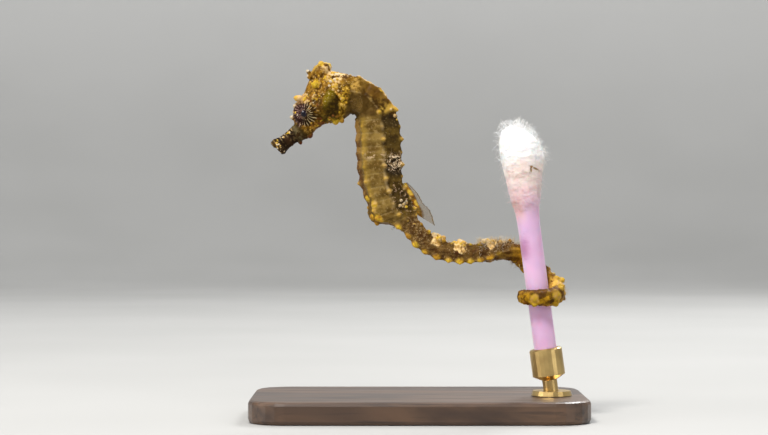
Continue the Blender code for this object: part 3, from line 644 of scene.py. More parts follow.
def skin_place(grid, ring, share, side):
    """The point of the body's surface at a ring and a share from back to belly, and its way out."""
    points = grid[0]
    row = min(int(ring * SECTIONS_PER_RING) + 1, len(points) - 1)
    column = int(share * AROUND / 2) * side % AROUND
    return points[row, column], unit(points[row, column] - points[row].mean(axis=0))


def skin_lumps(grid):
    """Round lumps that sit in the skin: the pale saddles of the tail and the crest of the neck."""
    rng = np.random.default_rng(21)
    lumps = []
    for ring, along, round_the_back, count in SADDLES:
        for k in range(count):
            place = ring + rng.normal(0, along * 0.6)
            share = abs(rng.normal(0.04, round_the_back * 0.42))
            centre, out = skin_place(grid, place, min(share, 0.6), 1 if k % 2 else -1)
            radius = rng.uniform(0.10, 0.32)
            lumps.append((centre + out * radius * 0.55, radius, rng.uniform(0.55, 1.0)))
    for k in range(CREST_LUMPS):
        place = rng.uniform(0.1, 3.3), abs(rng.normal(0.1, 0.12)), 1 if k % 2 else -1
        centre, out = skin_place(grid, *place)
        radius = rng.uniform(0.09, 0.20)
        lumps.append((centre + out * radius * 0.2, radius, rng.uniform(0.4, 0.9)))
    ring, share, count = FLANK_PATCH
    for k in range(2 * count):
        place = ring + rng.normal(0, 0.15), share + rng.normal(0, 0.024), 1 if k % 2 else -1
        radius = rng.uniform(0.08, 0.17)
        lumps.append((skin_place(grid, *place)[0], radius, rng.uniform(0.55, 0.95)))
    for ring, share, side, radius, proud, tone in BODY_LUMPS:
        centre, out = skin_place(grid, ring, share, side)
        lumps.append((centre + out * radius * proud, radius, tone))
    for i in range(CORONET_POINTS):
        lumps.append((coronet_point(i), 0.42 if i in (0, 4) else 0.28, 0.50))
    return lumps


def head_warts(solid):
    """Small warts scattered over the head's skin, on both sides."""
    tree = BVHTree.FromPolygons(np.concatenate(solid.points).tolist(), solid.faces)
    rng = np.random.default_rng(33)
    warts = []
    for u, v, along, across, count, tone in HEAD_WARTS:
        for k in range(count):
            side = 1 if k % 2 else -1
            u_here, v_here = u + along * rng.normal(0, 0.6), v + across * rng.normal(0, 0.6)
            far_out = head_point(u_here, v_here, 6.0 * side)
            hit = tree.ray_cast(Vector(far_out), Vector(FORWARD * side))[0]
            radius = rng.uniform(0.07, 0.15) * (1.0 if u > 3 else 0.7)
            shade = tone + rng.normal(-0.05, 0.22)
            if hit is not None:
                warts.append((np.array(hit), radius, shade))
    return warts


def head_point(u, v, side=0.0):
    """A point of the head's frame. A positive side is the left."""
    return SNOUT_TIP + HEAD_ALONG * u + HEAD_UP * v - FORWARD * side


def head_grid():
    """Points of the head's surface, one row to a section."""
    places = np.linspace(0, len(HEAD_RIBS) - 1, HEAD_SECTIONS)
    rows = smooth_curve(range(len(HEAD_RIBS)), HEAD_RIBS, places)
    angles = circle(AROUND)
    rise = np.cos(angles)
    grid = []
    for throat_u, throat_v, crown_u, crown_v, width, crest in rows:
        u = (throat_u + crown_u) / 2 + (crown_u - throat_u) / 2 * rise
        v = (throat_v + crown_v) / 2 + (crown_v - throat_v) / 2 * rise
        side = np.sin(angles) * width * (1 - crest * np.maximum(0.0, rise) ** 1.3)
        grid.append(SNOUT_TIP + np.outer(u, HEAD_ALONG) + np.outer(v, HEAD_UP) - np.outer(side, FORWARD))
    return np.array(grid)


def new_mesh(name, points, faces):
    made = bpy.data.meshes.new(name)
    made.from_pydata(points.reshape(-1, 3).tolist(), [], faces)
    made.shade_smooth()
    return made


def new_object(name, data):
    made = bpy.data.objects.new(name, data)
    bpy.context.scene.collection.objects.link(made)
    return made


class Solid:
    """Closed surfaces gathered into one mesh, in millimetres."""

    def __init__(self):
        self.points, self.faces, self.count = [], [], 0

    def add(self, points, faces):
        self.points.append(np.asarray(points, float).reshape(-1, 3))
        self.faces += [[i + self.count for i in face] for face in faces]
        self.count += len(self.points[-1])

    def loft(self, grid):
        """A closed surface through the rows of a grid of points."""
        quads, index = quads_between(*grid.shape[:2])
        self.add(grid, quads.tolist() + [index[0, ::-1].tolist(), index[-1].tolist()])

    def ball(self, centre, reach, axes=np.eye(3), rows=24, around=36):
        """An ellipsoid, as a loft along its last axis."""
        turns, angles = np.linspace(0.02, math.pi - 0.02, rows)[:, None], circle(around)[None]
        x, y = np.sin(turns) * np.cos(angles), np.sin(turns) * np.sin(angles)
        z = -np.cos(turns) * np.ones_like(angles)
        local = np.stack([x * reach[0], y * reach[1], z * reach[2]], axis=-1)
        self.loft(np.asarray(centre) + local @ np.asarray(axes))

    def spine(self, root, point, radius, tip):
        """A blunt spine with a round tip, whose radius is a share of the root's."""
        axis = unit(point - root)
        side = unit(np.cross(axis, (0.31, 0.87, 0.39)))
        other = np.cross(axis, side)
        length = np.linalg.norm(point - root)
        section = circle_points(circle(20), side, other)
        rows = []
        for share in np.linspace(0, 1, 14):
            reach = radius * (1 - (1 - tip) * share**0.8) * math.sqrt(max(0.0, 1 - share**6)) + 0.01
            rows.append(root + axis * length * share + section * reach)
        self.loft(np.array(rows))

    def mesh(self, name):
        made = new_mesh(name, np.concatenate(self.points), self.faces)
        made.validate()
        return made


class Strands:
    """Fine hairs as thin three-sided tubes, each with its patch on the shape that it grows from."""

    def __init__(self):
        self.points, self.faces, self.maps, self.marks, self.count = [], [], [], [], 0

    def add(self, line, radius, patch, marks=()):
        """line is the hair's middle points, and patch the root's place on the unwrapped shape.

        marks are the skin's masks at the root.
        """
        self.marks.append(np.tile(marks, (3 * len(line), 1)))
        start = self.count
        self.count += 3 * len(line)
        way = unit(np.gradient(line, axis=0))
        side = unit(np.cross(way, (0.27, 0.53, 0.80)))
        other = np.cross(way, side)
        taper = radius * np.linspace(1.0, 0.35, len(line))[:, None]
        angles = (0, 2 * math.pi / 3, 4 * math.pi / 3)
        corners = [line + (side * math.cos(a) + other * math.sin(a)) * taper for a in angles]
        self.points.append(np.stack(corners, axis=1).reshape(-1, 3))
        last = len(line) - 1
        wide, long = STRAND_PATCH
        for k in range(last):
            for i in range(3):
                j = (i + 1) % 3
                a, b = start + 3 * k, start + 3 * (k + 1)
                self.faces.append((a + i, a + j, b + j, b + i))
                u, v = patch[0] + wide * i, patch[1] + long * k / last
                w = patch[1] + long * (k + 1) / last
                self.maps += [(u, v), (u + wide, v), (u + wide, w), (u, w)]
        for k in (0, last):
            tip = start + 3 * k
            self.faces.append((tip + 2, tip + 1, tip) if k == 0 else (tip, tip + 1, tip + 2))
            self.maps += [tuple(patch), (patch[0] + long, patch[1]), (patch[0], patch[1] + long)]

    def mesh(self, name, marks=()):
        made = new_mesh(name, np.concatenate(self.points), self.faces)
        for label, values in zip(marks, np.concatenate(self.marks).T):
            write_mask(made, label, values)
        layer = made.uv_layers.new(name="OFBake")
        layer.data.foreach_set("uv", np.clip(np.array(self.maps, np.float32), 0.0, 1.0).ravel())
        return made


def read_rows(rows, name):
    """The vectors of a mesh's vertices or of its normals, one row each."""
    values = np.empty(len(rows) * 3, np.float32)
    rows.foreach_get(name, values)
    return values.reshape(-1, 3).astype(float)


def mesh_points(mesh):
    return read_rows(mesh.vertices, "co")


def mesh_normals(mesh):
    return read_rows(mesh.vertex_normals, "vector")


def set_points(mesh, points):
    mesh.vertices.foreach_set("co", np.ascontiguousarray(points, np.float32).ravel())
    mesh.update()


def write_mask(mesh, name, values):
    made = mesh.attributes.new(name, "FLOAT", "POINT")
    made.data.foreach_set("value", np.ascontiguousarray(values, np.float32))


def place_piece(name, mesh, finish, replaced=(), location=None):
    """Turns a mesh in millimetres into a piece of the object."""
    mesh.transform(Matrix.Scale(MM, 4))
    mesh.materials.append(finish.material)
    piece = new_object(name, mesh)
    if location is not None:
        piece.matrix_world = location
    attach(piece, "root")
    if replaced:
        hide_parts(*replaced)


# ---- The skin --------------------------------------------------------------------------------


CORONET_FRONT = unit(np.cross(CORONET_AXIS, FORWARD))


def coronet_grid():
    """The crown: a stalk that swells into a rim of five knobbly points."""
    foot = head_point(*CORONET_PLACE)
    angles = circle(80)
    places = np.linspace(0, len(CORONET_RIBS) - 1, 60)
    grid = []
    for height, radius, depth, slope in smooth_curve(range(len(CORONET_RIBS)), CORONET_RIBS, places):
        reach = radius * (1 - depth * np.cos(CORONET_POINTS * angles))
        rise = height * CORONET_HEIGHT + slope * radius * np.cos(angles)
        across = np.outer(np.cos(angles) * reach, CORONET_FRONT)
        across += np.outer(np.sin(angles) * reach, FORWARD)
        grid.append(foot + across + np.outer(rise, CORONET_AXIS))
    return np.array(grid)


def coronet_point(i):
    """The middle of one of the crown's points."""
    angle = math.pi * (2 * i + 1) / CORONET_POINTS
    out = CORONET_FRONT * math.cos(angle) + FORWARD * math.sin(angle)
    rise = CORONET_HEIGHT * 0.75 - 0.22 * math.cos(angle)
    return head_point(*CORONET_PLACE) + CORONET_AXIS * rise + out * 0.38


def both_sides(place):
    """The same place on the left and on the right, or once on the middle line."""
    u, v, side = place
    return [(u, v, side), (u, v, -side)] if side else [place]


def raw_skin(body):
    """All the forms of the animal, in one mesh of closed surfaces that run into each other."""
    solid = Solid()
    grid = body_grid(body)
    solid.loft(grid[0])
    solid.loft(head_grid())
    solid.loft(coronet_grid())
    head_axes = (HEAD_ALONG, HEAD_UP, -FORWARD)
    for place in both_sides(GILL_COVER_PLACE):
        solid.ball(head_point(*place), GILL_COVER_REACH, head_axes)
    for u, v, side in both_sides(EYE_PLACE):
        inner = side - math.copysign(ORBIT_INSET, side)
        solid.ball(head_point(u, v, inner), (ORBIT_RADIUS,) * 3, head_axes)
    for root, point, radius, blunt, _ in HEAD_SPINES:
        for a, b in zip(both_sides(root), both_sides(point)):
            solid.spine(head_point(*a), head_point(*b), radius, blunt)
    lumps = skin_lumps(grid) + head_warts(solid)
    for centre, radius, _ in lumps:
        solid.ball(centre, (radius,) * 3, rows=12, around=16)
    return solid.mesh("raw_skin"), grid, lumps


def evaluated_copy(mesh, set_up):
    """A new mesh from a mesh and the modifiers that set_up adds."""
    made = new_object("working", mesh)
    set_up(made.modifiers)
    graph = bpy.context.evaluated_depsgraph_get()
    result = bpy.data.meshes.new_from_object(made.evaluated_get(graph), depsgraph=graph)
    bpy.data.objects.remove(made)
    result.shade_smooth()
    return result


def remeshed(mesh, voxel, rounds):
    """The outer surface of a mesh of closed surfaces, evenly meshed and smoothed."""

    def set_up(modifiers):
        remesh = modifiers.new("remesh", "REMESH")
        remesh.mode = "VOXEL"
        remesh.voxel_size = voxel
        smooth = modifiers.new("smooth", "SMOOTH")
        smooth.factor, smooth.iterations = 0.5, rounds

    return evaluated_copy(mesh, set_up)


def thinned(mesh, triangles):
    """The mesh with at most that many triangles, fewest where it is flat."""
    mesh.calc_loop_triangles()
    share = triangles / len(mesh.loop_triangles)

    def set_up(modifiers):
        if share < 1:
            modifiers.new("thin", "DECIMATE").ratio = share

    return evaluated_copy(mesh, set_up)


def body_masks(points, grid):
    """The ring, the share round from back to belly and the knob mask at each point of the skin."""
    surface, rings, around, mask = grid
    rows, count = surface.shape[:2]
    corners = quads_between(rows, count)[0]
    flat = surface.reshape(-1, 3)
    tree = BVHTree.FromPolygons(flat.tolist(), corners.tolist())
    faces = np.array([tree.find_nearest(Vector(p))[2] for p in points])
    near = corners[faces]
    weights = 1 / (np.linalg.norm(flat[near] - points[:, None], axis=2) ** 2 + 1e-4)
    weights /= weights.sum(axis=1, keepdims=True)
    per_point = np.stack([np.repeat(rings, count), np.tile(around, rows), mask.ravel()])
    return np.einsum("vk,mvk->mv", weights, per_point[:, near])


def bumps(points, size, seed, reach):
    """Round bumps from 0 to 1, scattered one to a cell of that size, each reach cells wide."""
    grid = np.floor(points / size).astype(int)
    nearest = np.full(len(points), 9.0)
    for neighbour in np.ndindex(3, 3, 3):
        cell = grid + np.array(neighbour) - 1
        mixed = cell @ np.array(((127, 269, 419), (311, 183, 371), (74, 246, 168))) + seed
        jitter = np.modf(np.abs(np.sin(mixed) * 43758.5453))[0]
        gap = np.linalg.norm((cell + 0.5 + 0.7 * (jitter - 0.5)) * size - points, axis=1)
        nearest = np.minimum(nearest, gap)
    return ease(1 - nearest / size / reach)


def head_coordinates(points):
    """u, v and side of each point in the head's frame."""
    offset = points - SNOUT_TIP
    return offset @ HEAD_ALONG, offset @ HEAD_UP, -offset @ FORWARD


def skin_relief(points, normals, rings, head):
    """Fine relief in the surface: warts, ring furrows, the eye's rays, the gill slit and its ribs."""
    u, v, side = head_coordinates(points)
    lumpy, warts = bumps(points, 0.95, 31, 0.75), bumps(points, 0.42, 5, 0.40)
    pores = bumps(points, 0.22, 11, 0.42)
    place = np.mod(rings, 1.0) - 0.5
    furrow = hump(np.abs(place), 0.5, 0.06) * (1 - head)
    crest = hump(place, 0.0, 0.07) * (1 - head)
    eu, ev, _ = EYE_PLACE
    from_eye = np.hypot(u - eu, v - ev)
    eye_angle = np.arctan2(v - ev, u - eu)
    rays = (0.5 + 0.5 * np.cos(eye_angle * EYE_SPOKES)) * hump(from_eye, 1.15, 0.28) * head
    gu, gv, _ = GILL_COVER_PLACE
    from_gill = np.hypot((u - gu) / 1.18, (v - gv - 0.1) / 1.62)
    gill_angle = np.arctan2(v - gv - 1.3, u - gu + 1.0)
    slit = hump(from_gill, 1.0, 0.07) * ease((u - gu - 0.1) / 0.4) * head
    ribs = (0.5 + 0.5 * np.cos(gill_angle * 26)) * ease((0.95 - from_gill) / 0.3) * head
    mouth = hump(v, 0.05, 0.07) * ease((0.35 - u) / 0.3) * (np.abs(side) < 0.8)
    rough = head + (1 - head) * (0.55 + 0.45 * ease((rings - 10) / 2) - 0.4 * ease((rings - 30) / 2))
    height = (
        (lumpy - 0.4) * 0.08 + warts * 0.075 * rough + pores * 0.022 - furrow * 0.038 + crest * 0.02
        + rays * 0.035 - slit * 0.14 + ribs * 0.03 - mouth * 0.10 * head
    )
    return points + normals * height[:, None], warts


def near_lumps(points, lumps):
    """How much each point is part of a lump or of a spine's tip, and the tone of the nearest."""
    mask, tone = np.zeros(len(points)), np.full(len(points), 0.56)
    for _, point, radius, _, shade in HEAD_SPINES:
        lumps = lumps + [(head_point(*place), radius * 0.95, shade) for place in both_sides(point)]
    for centre, radius, shade in lumps:
        near = ease(1.7 - np.linalg.norm(points - centre, axis=1) / radius)
        tone = np.where(near > mask, shade, tone)
        mask = np.maximum(mask, near)
    return mask, tone


def make_skin(body):
    """The animal's one skin, its masks, and the algae that grow on it."""
    raw, grid, lumps = raw_skin(body)
    mesh = remeshed(raw, SKIN_VOXEL, 3)
    start, _, _, way, _, _ = body.frames(np.array([0.0]))

    def on_head(points):
        ahead = (points - start[0]) @ way[0]
        in_front = points[:, 0] < start[0, 0] + 2.0
        return ease(0.5 - ahead / NAPE_BLEND) * in_front * (points[:, 2] > HEAD_BOTTOM)

    points = mesh_points(mesh)
    rings = body_masks(points, grid)[0]
    points, warts = skin_relief(points, mesh_normals(mesh), rings, on_head(points))
    set_points(mesh, points)
    write_mask(mesh, "wart", warts)
    mesh = thinned(mesh, SKIN_TRIANGLES)
    points = mesh_points(mesh)
    rings, around, knob = body_masks(points, grid)
    head = on_head(points)
    lump, tone = near_lumps(points, lumps)
    bead = 0.45 + 0.13 * hump(rings, 17.5, 1.0) + 0.08 * np.sin(rings * 2.4)
    tone = np.where(lump < 0.05, 0.63 + (bead - 0.63) * ease((rings - 11) / 1.5), tone)
    # How much the skin faces up, which the tail's turn uses for painted shade underneath.
    middles = body.frames(rings)[0]
    over = unit(points - middles)[:, 2]
    knob = np.maximum(knob * (1 - head), lump)
    for name, values in zip(MASKS, (rings, around, knob, head, tone, over)):
        write_mask(mesh, name, values)
    flesh = [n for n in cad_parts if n.startswith(("tail_", "trunk_"))]
    flesh += ["snout", "head", "coronet", "neck"]
    place_piece("skin", mesh, skin_finish(), flesh)
    make_algae(grid)


def make_algae(grid):
    """Fine threads on the back of the tail, on its outer turn, on the neck and at the foot of the fin."""
    rng = np.random.default_rng(8)
    strands = Strands()
    for low, high, widest, count, length, thick in ALGAE:
        for _ in range(count):
            ring = rng.uniform(low, high)
            share, side = min(abs(rng.normal(0, widest * 0.5)), 0.9), rng.choice((-1, 1))
            root, out = skin_place(grid, ring, share, side)
            way = unit(out + rng.normal(0, 0.35, 3))
            along = np.linspace(0, 1, 7)[:, None]
            reach = length * rng.uniform(0.4, 1.3)
            wander = np.cumsum(rng.normal(0, 0.16, (7, 3)), axis=0) * reach * 0.5
            line = root - out * 0.05 + along * way * reach + wander * along
            patch = ((1 + side * share) / 2 * 0.99, min(ring / RINGS, 0.99))
            masks = (ring, share, 0.9, 0.0, rng.uniform(0.8, 1.4), 1.0)
            strands.add(line, thick * rng.uniform(0.7, 1.2), patch, masks)
    finish = Finish("seahorse_algae", Roughness=0.6, Specular_IOR_Level=0.2)
    finish.feed(Base_Color=skin_colour(finish))
    place_piece("seahorse_algae", strands.mesh("algae", MASKS), finish)


def skin_finish():
    finish = Finish(
        "seahorse_skin", Subsurface_Weight=0.08, Subsurface_Scale=0.0004, Specular_IOR_Level=0.05
    )
    finish.shader.inputs["Subsurface Radius"].default_value = (1.0, 0.55, 0.25)
    colour = skin_colour(finish)
    fine = finish.noise(0.09, 3.0)
    middle = finish.noise(0.3, 2.0)
    finish.feed(Base_Color=colour, Roughness=0.28 + 0.4 * middle)
    return finish.bump(fine * 0.6 + middle * 0.4, 0.06, 0.7)


# Colours of the lumps and of the spines' tips for their tone, and of the snout from its mouth back.
TIP_TONES = (
    (0.0, 0.15, 0.04, 0.012), (0.22, 0.30, 0.13, 0.02), (0.45, 0.62, 0.33, 0.03),
    (0.53, 0.84, 0.56, 0.035), (0.61, 0.74, 0.44, 0.07), (0.78, 0.74, 0.50, 0.22),
    (1.0, 0.82, 0.70, 0.50),
)
SNOUT_BANDS = (
    (0.0, 0.06, 0.03, 0.005), (0.07, 0.045, 0.021, 0.004), (0.12, 0.010, 0.004, 0.001),
    (0.30, 0.019, 0.008, 0.002), (0.44, 0.048, 0.022, 0.008), (0.55, 0.015, 0.006, 0.002),
    (0.66, 0.026, 0.013, 0.004), (0.78, 0.145, 0.11, 0.045), (0.88, 0.062, 0.038, 0.008),
    (1.0, 0.045, 0.026, 0.004),
)


def skin_colour(f):
    """The animal's markings, with some painted light and shade, from its place on the body and on the
    head.
    """
    ring, around, knob, head = (f.attribute(n) for n in ("ring", "around", "knob", "head"))
    noises = f.noise(1.6, 2.0), f.noise(0.5, 3.0), f.noise(0.18, 2.0)
    body = trunk_colour(f, ring, around, *noises)
    body = ring.step(10.4, 12.0).over(body, tail_colour(f, ring, around, *noises))
    colour = head.over(body, head_colour(f, *noises))
    small = noises[2]
    tone = f.attribute("tone").ragged(0.5, small)
    tips = tone.ramp(TIP_TONES)
    strength = 0.92 - 0.34 * ring.near(6.0, 4.8) * (1 - head) - 0.25 * ring.step(30.5, 33.0)
    return (knob.ragged(0.45, small).step(0.18, 0.85) * strength).over(colour, tips)


def flecks(f, size, share):
    """Small irregular light specks of a size in millimetres, where share says from 0 to 1 how many."""
    edge = 0.66 - 0.12 * share
    return f.noise(size, 3.0, 0.7).step(edge, edge + 0.05)


def trunk_colour(f, ring, around, large, middle, small):
    """Olive brown, darker over the back and barred, with a golden line and pale edges to the rings."""
    edge = around.ragged(0.14, large).ragged(0.12, middle)
    flank = middle.step(0.36, 0.64).over((0.145, 0.080, 0.014), (0.30, 0.19, 0.046))
    flank = (small.step(0.56, 0.7) * 0.6).over(flank, (0.44, 0.30, 0.11))
    place = ring.within()
    seam = place.math("ABSOLUTE", place).step(0.40, 0.49)
    flank = (seam * 0.35 * small.step(0.3, 0.55)).over(flank, (0.42, 0.30, 0.12))
    back = middle.step(0.38, 0.64).over((0.050, 0.026, 0.003), (0.17, 0.10, 0.016))
    back = (small.step(0.58, 0.7) * 0.6).over(back, (0.26, 0.17, 0.05))
    colour = edge.step(0.55, 0.45).over(flank, back)
    ridge = around.near(0.5, 0.04) * (0.5 * place.near(0.0, 0.5) + 0.5 * ring.near(7.6, 2.0))
    colour = ridge.over(colour, (0.50, 0.36, 0.17))
    line = around.ragged(0.05, middle).near(0.75, 0.085) * ring.step(1.0, 3.0)
    colour = (line * 0.75).over(colour, (0.42, 0.26, 0.04))
    belly = middle.step(0.4, 0.6).over((0.13, 0.06, 0.018), (0.32, 0.18, 0.045))
    colour = edge.step(0.82, 0.90).over(colour, belly)
    colour = neck_colour(colour, ring, around, edge, middle, small)
    waver = (1.1 * (middle - 0.5) + 0.5 * (large - 0.5)) * ring.step(1.4, 2.6)
    for centre, reach, shade in BACK_BARS:
        bar = ring.near(centre, reach) * edge.near(0.30, 0.32) + waver
        colour = (bar.step(0.15, 0.60) * shade * 0.95).over(colour, (0.020, 0.012, 0.005))
    pouch = ring.near(9.8, 1.3) * edge.step(0.66, 0.8)
    colour = (pouch * 0.7).over(colour, (0.15, 0.095, 0.018))
    return trunk_specks(f, colour, ring, around, small)


def neck_colour(base, ring, around, edge, middle, small):
    """The arch of the neck: a golden crest, a brown side and a thin pale line down to the shoulder."""
    crest = middle.step(0.40, 0.58).over((0.16, 0.070, 0.006), (0.62, 0.33, 0.03))
    crest = (small.step(0.52, 0.64) * 0.8).over(crest, (1.00, 0.68, 0.24))
    side = middle.step(0.4, 0.62).over((0.065, 0.030, 0.003), (0.25, 0.135, 0.02))
    throat = middle.step(0.38, 0.64).over((0.095, 0.05, 0.008), (0.19, 0.11, 0.025))
    neck = edge.step(0.32, 0.16).over(edge.step(0.56, 0.48).over(throat, side), crest)
    near_head = ring.ragged(0.9, middle).step(0.9, 0.2) * edge.step(0.54, 0.44)
    ochre = small.step(0.40, 0.60).over((0.24, 0.12, 0.010), (0.72, 0.43, 0.09))
    neck = (near_head * 0.8).over(neck, ochre)
    dark = ring.ragged(0.6, middle).near(1.35, 0.75) * edge.ragged(0.3, small).near(0.34, 0.17)
    neck = (dark.step(0.1, 0.6) * 0.7).over(neck, (0.12, 0.052, 0.005))
    rim = around.ragged(0.08, small).near(0.5, 0.026) * ring.step(2.7, 2.2)
    neck = (rim * middle.step(0.3, 0.6) * 0.6).over(neck, (0.50, 0.34, 0.13))
    cuff = ring.ragged(0.5, small).near(2.45, 0.4) * edge.step(0.56, 0.46)
    neck = (cuff * middle.step(0.4, 0.55)).over(neck, (0.62, 0.38, 0.06))
    return ring.ragged(0.8, middle).step(3.0, 2.5).over(base, neck)


def trunk_specks(f, base, ring, around, small):
    """The pale curls over the darkest bar, and rosy specks over the lower back."""
    curls = f.noise(0.26, 1.0, distortion=1.2).near(0.5, 0.055)
    where = (ring.near(6.3, 1.3) * around.near(0.33, 0.25)).ragged(0.6, small).step(0.2, 0.65)
    haze = where * small.step(0.46, 0.58) * 0.5
    colour = haze.over(base, (0.34, 0.21, 0.10))
    colour = (curls * where * small.step(0.34, 0.46)).over(colour, (1.20, 0.92, 0.60))
    smear = ring.near(5.7, 0.45) * around.near(0.6, 0.2) * small.step(0.5, 0.62)
    colour = smear.over(colour, (0.80, 0.58, 0.34))
    low_back = (ring.near(9.6, 2.6) * around.near(0.25, 0.38)).step(0.05, 0.4)
    rosy = flecks(f, 0.13, 0.75) * small.step(0.43, 0.54) * low_back
    colour = (rosy * 0.75).over(colour, (0.80, 0.53, 0.35))
    return (flecks(f, 0.13, 0.4) * 0.4 * ring.step(2.6, 3.2)).over(colour, (0.56, 0.40, 0.18))


def tail_colour(f, ring, around, large, middle, small):
    """Brown and finely streaked, with pale saddles over the back, turning gold where it winds round."""
    edge = around.ragged(0.10, large).ragged(0.10, middle)
    side = middle.step(0.36, 0.64).over((0.080, 0.034, 0.008), (0.185, 0.100, 0.024))
    streaks = f.noise(0.13, 3.0, 0.7, stretch=(0.35, 1.0, 1.0))
    side = (streaks.step(0.53, 0.62) * 0.35).over(side, (0.36, 0.21, 0.065))
    side = (streaks.step(0.47, 0.38) * 0.5).over(side, (0.085, 0.022, 0.008))
    specks = flecks(f, 0.11, 0.5) + flecks(f, 0.13, 1.0) * (ring.near(12.6, 2.6) + ring.near(22.0, 2.6))
    side = (specks * 0.38).over(side, (0.66, 0.46, 0.22))
    colour = (edge.step(0.24, 0.12) * 0.6).over(side, (0.36, 0.21, 0.07))
    lower = middle.step(0.4, 0.6).over((0.13, 0.06, 0.012), (0.34, 0.19, 0.035))
    colour = edge.step(0.70, 0.82).over(colour, lower)
    for centre, along, round_the_back, _ in SADDLES:
        patch = ring.near(centre, along * 2.2) * around.step(round_the_back * 1.9, round_the_back * 0.5)
        patch = patch.ragged(1.2, middle).ragged(0.5, small).step(0.34, 0.52)
        cream = small.step(0.36, 0.60).over((0.62, 0.34, 0.08), (1.15, 0.82, 0.38))
        colour = patch.over(colour, cream)
    smooth = middle.step(0.4, 0.6).over((0.19, 0.085, 0.012), (0.32, 0.165, 0.024))
    colour = (ring.step(22.4, 24.4) * edge.step(0.22, 0.45)).over(colour, smooth)
    end = coil_colour(f, ring, large, middle, small)
    return ring.ragged(2.5, large).step(21.5, 24.5).over(colour, end)


def coil_colour(f, ring, large, middle, small):
    """Ochre, dark brown between the lumps of the front, and paler where it comes round the side, with
    painted shade: the dark brown reaches further where the skin faces down, and the pale patches keep off
    it there.
    """
    over = f.attribute("over")
    light = (middle * 0.6 + small * 0.4).step(0.40, 0.60)
    gold = light.over((0.17, 0.066, 0.004), (0.58, 0.31, 0.014))
    # Painted shade: no pale patches where the skin faces down.
    pale = ring.near(30.8, 2.6) * (middle + 0.4 * small).step(0.50, 0.68) * over.step(-0.5, 0.2)
    gold = pale.over(gold, (0.98, 0.58, 0.11))
    front = ring.step(31.0, 33.0)
    # Painted shade: the dark brown reaches further where the skin faces down.
    dark = (large * 0.5 + middle * 0.7 - 0.12 * over).step(0.64, 0.52) * front
    gold = (dark * 0.9).over(gold, (0.075, 0.030, 0.003))
    rosy = over.step(0.45, 0.85) * front * 0.5
    return rosy.over(gold, (0.22, 0.10, 0.03))


def head_colour(f, large, middle, small):
    """Brown and gold under a fine dark net, with its crown, brow, jaw, cheek, snout and eye on top."""
    u, v = f.along(HEAD_ALONG, SNOUT_TIP), f.along(HEAD_UP, SNOUT_TIP)
    colour = middle.ragged(0.3, large).step(0.36, 0.64).over((0.10, 0.040, 0.003), (0.41, 0.20, 0.014))
    colour = (small.step(0.52, 0.66) * 0.55).over(colour, (0.78, 0.47, 0.10))
    blotch = (large + middle * 0.7).step(0.88, 1.0) * u.step(9.0, 8.2)
    colour = (blotch * 0.9).over(colour, (0.070, 0.030, 0.003))
    net = f.noise(0.28, 2.0).step(0.54, 0.66) * (0.25 + 0.45 * u.step(9.6, 8.6))
    colour = net.over(colour, (0.085, 0.038, 0.004))
    crown = v.ragged(0.3, middle).step(3.7, 4.2) * u.step(7.6, 8.2)
    low_crown = small.step(0.4, 0.62).over((0.17, 0.07, 0.005), (0.36, 0.21, 0.022))
    # Painted highlight: the top of the crown is painted paler, as if lit from above.
    top = (v - 0.35 * (u - 8.9)).ragged(0.2, middle).step(4.55, 4.85)
    low_crown = top.over(low_crown, (0.62, 0.39, 0.075))
    colour = (crown * 0.85).over(colour, low_crown)
    brow = (v + 0.5 * u).ragged(0.8, middle).step(4.6, 5.2) * u.step(6.1, 5.4) * v.step(1.9, 2.3)
    shaded = small.step(0.4, 0.6).over((0.30, 0.13, 0.055), (0.72, 0.42, 0.16))
    lit = (v - 0.4 * (u - 5.0)).step(2.5, 3.1)
    colour = (brow * 0.85).over(colour, lit.over(shaded, (1.10, 0.72, 0.30)))
    jaw = (v - 0.35 * u).ragged(1.2, middle).step(-1.2, -2.3) * u.step(4.6, 5.6) * v.step(1.4, 0.4)
    shadow = small.step(0.4, 0.65).over((0.04, 0.023, 0.001), (0.11, 0.07, 0.005))
    colour = (jaw * 0.85).over(colour, shadow)
    colour = cheek_colour(f, colour, middle, small)
    specks = flecks(f, 0.11, 0.55) * v.ragged(0.8, middle).step(0.4, 1.2) * u.step(4.8, 5.6)
    colour = (specks * 0.6).over(colour, (0.95, 0.70, 0.34))
    dots = f.attribute("wart").step(0.5, 0.8) * u.step(5.4, 6.8) * v.ragged(0.4, middle).step(0.6, 1.6)
    colour = (dots * 0.55).over(colour, (0.60, 0.40, 0.20))
    nape = u.ragged(0.6, middle).step(8.7, 9.4) * v.ragged(0.6, middle).step(1.3, 2.2)
    colour = (nape * small.step(0.42, 0.56) * 0.9).over(colour, (0.98, 0.69, 0.32))
    colour = snout_colour(f, colour, u, v, middle, small)
    return eye_rays(f, colour, u, v, middle)


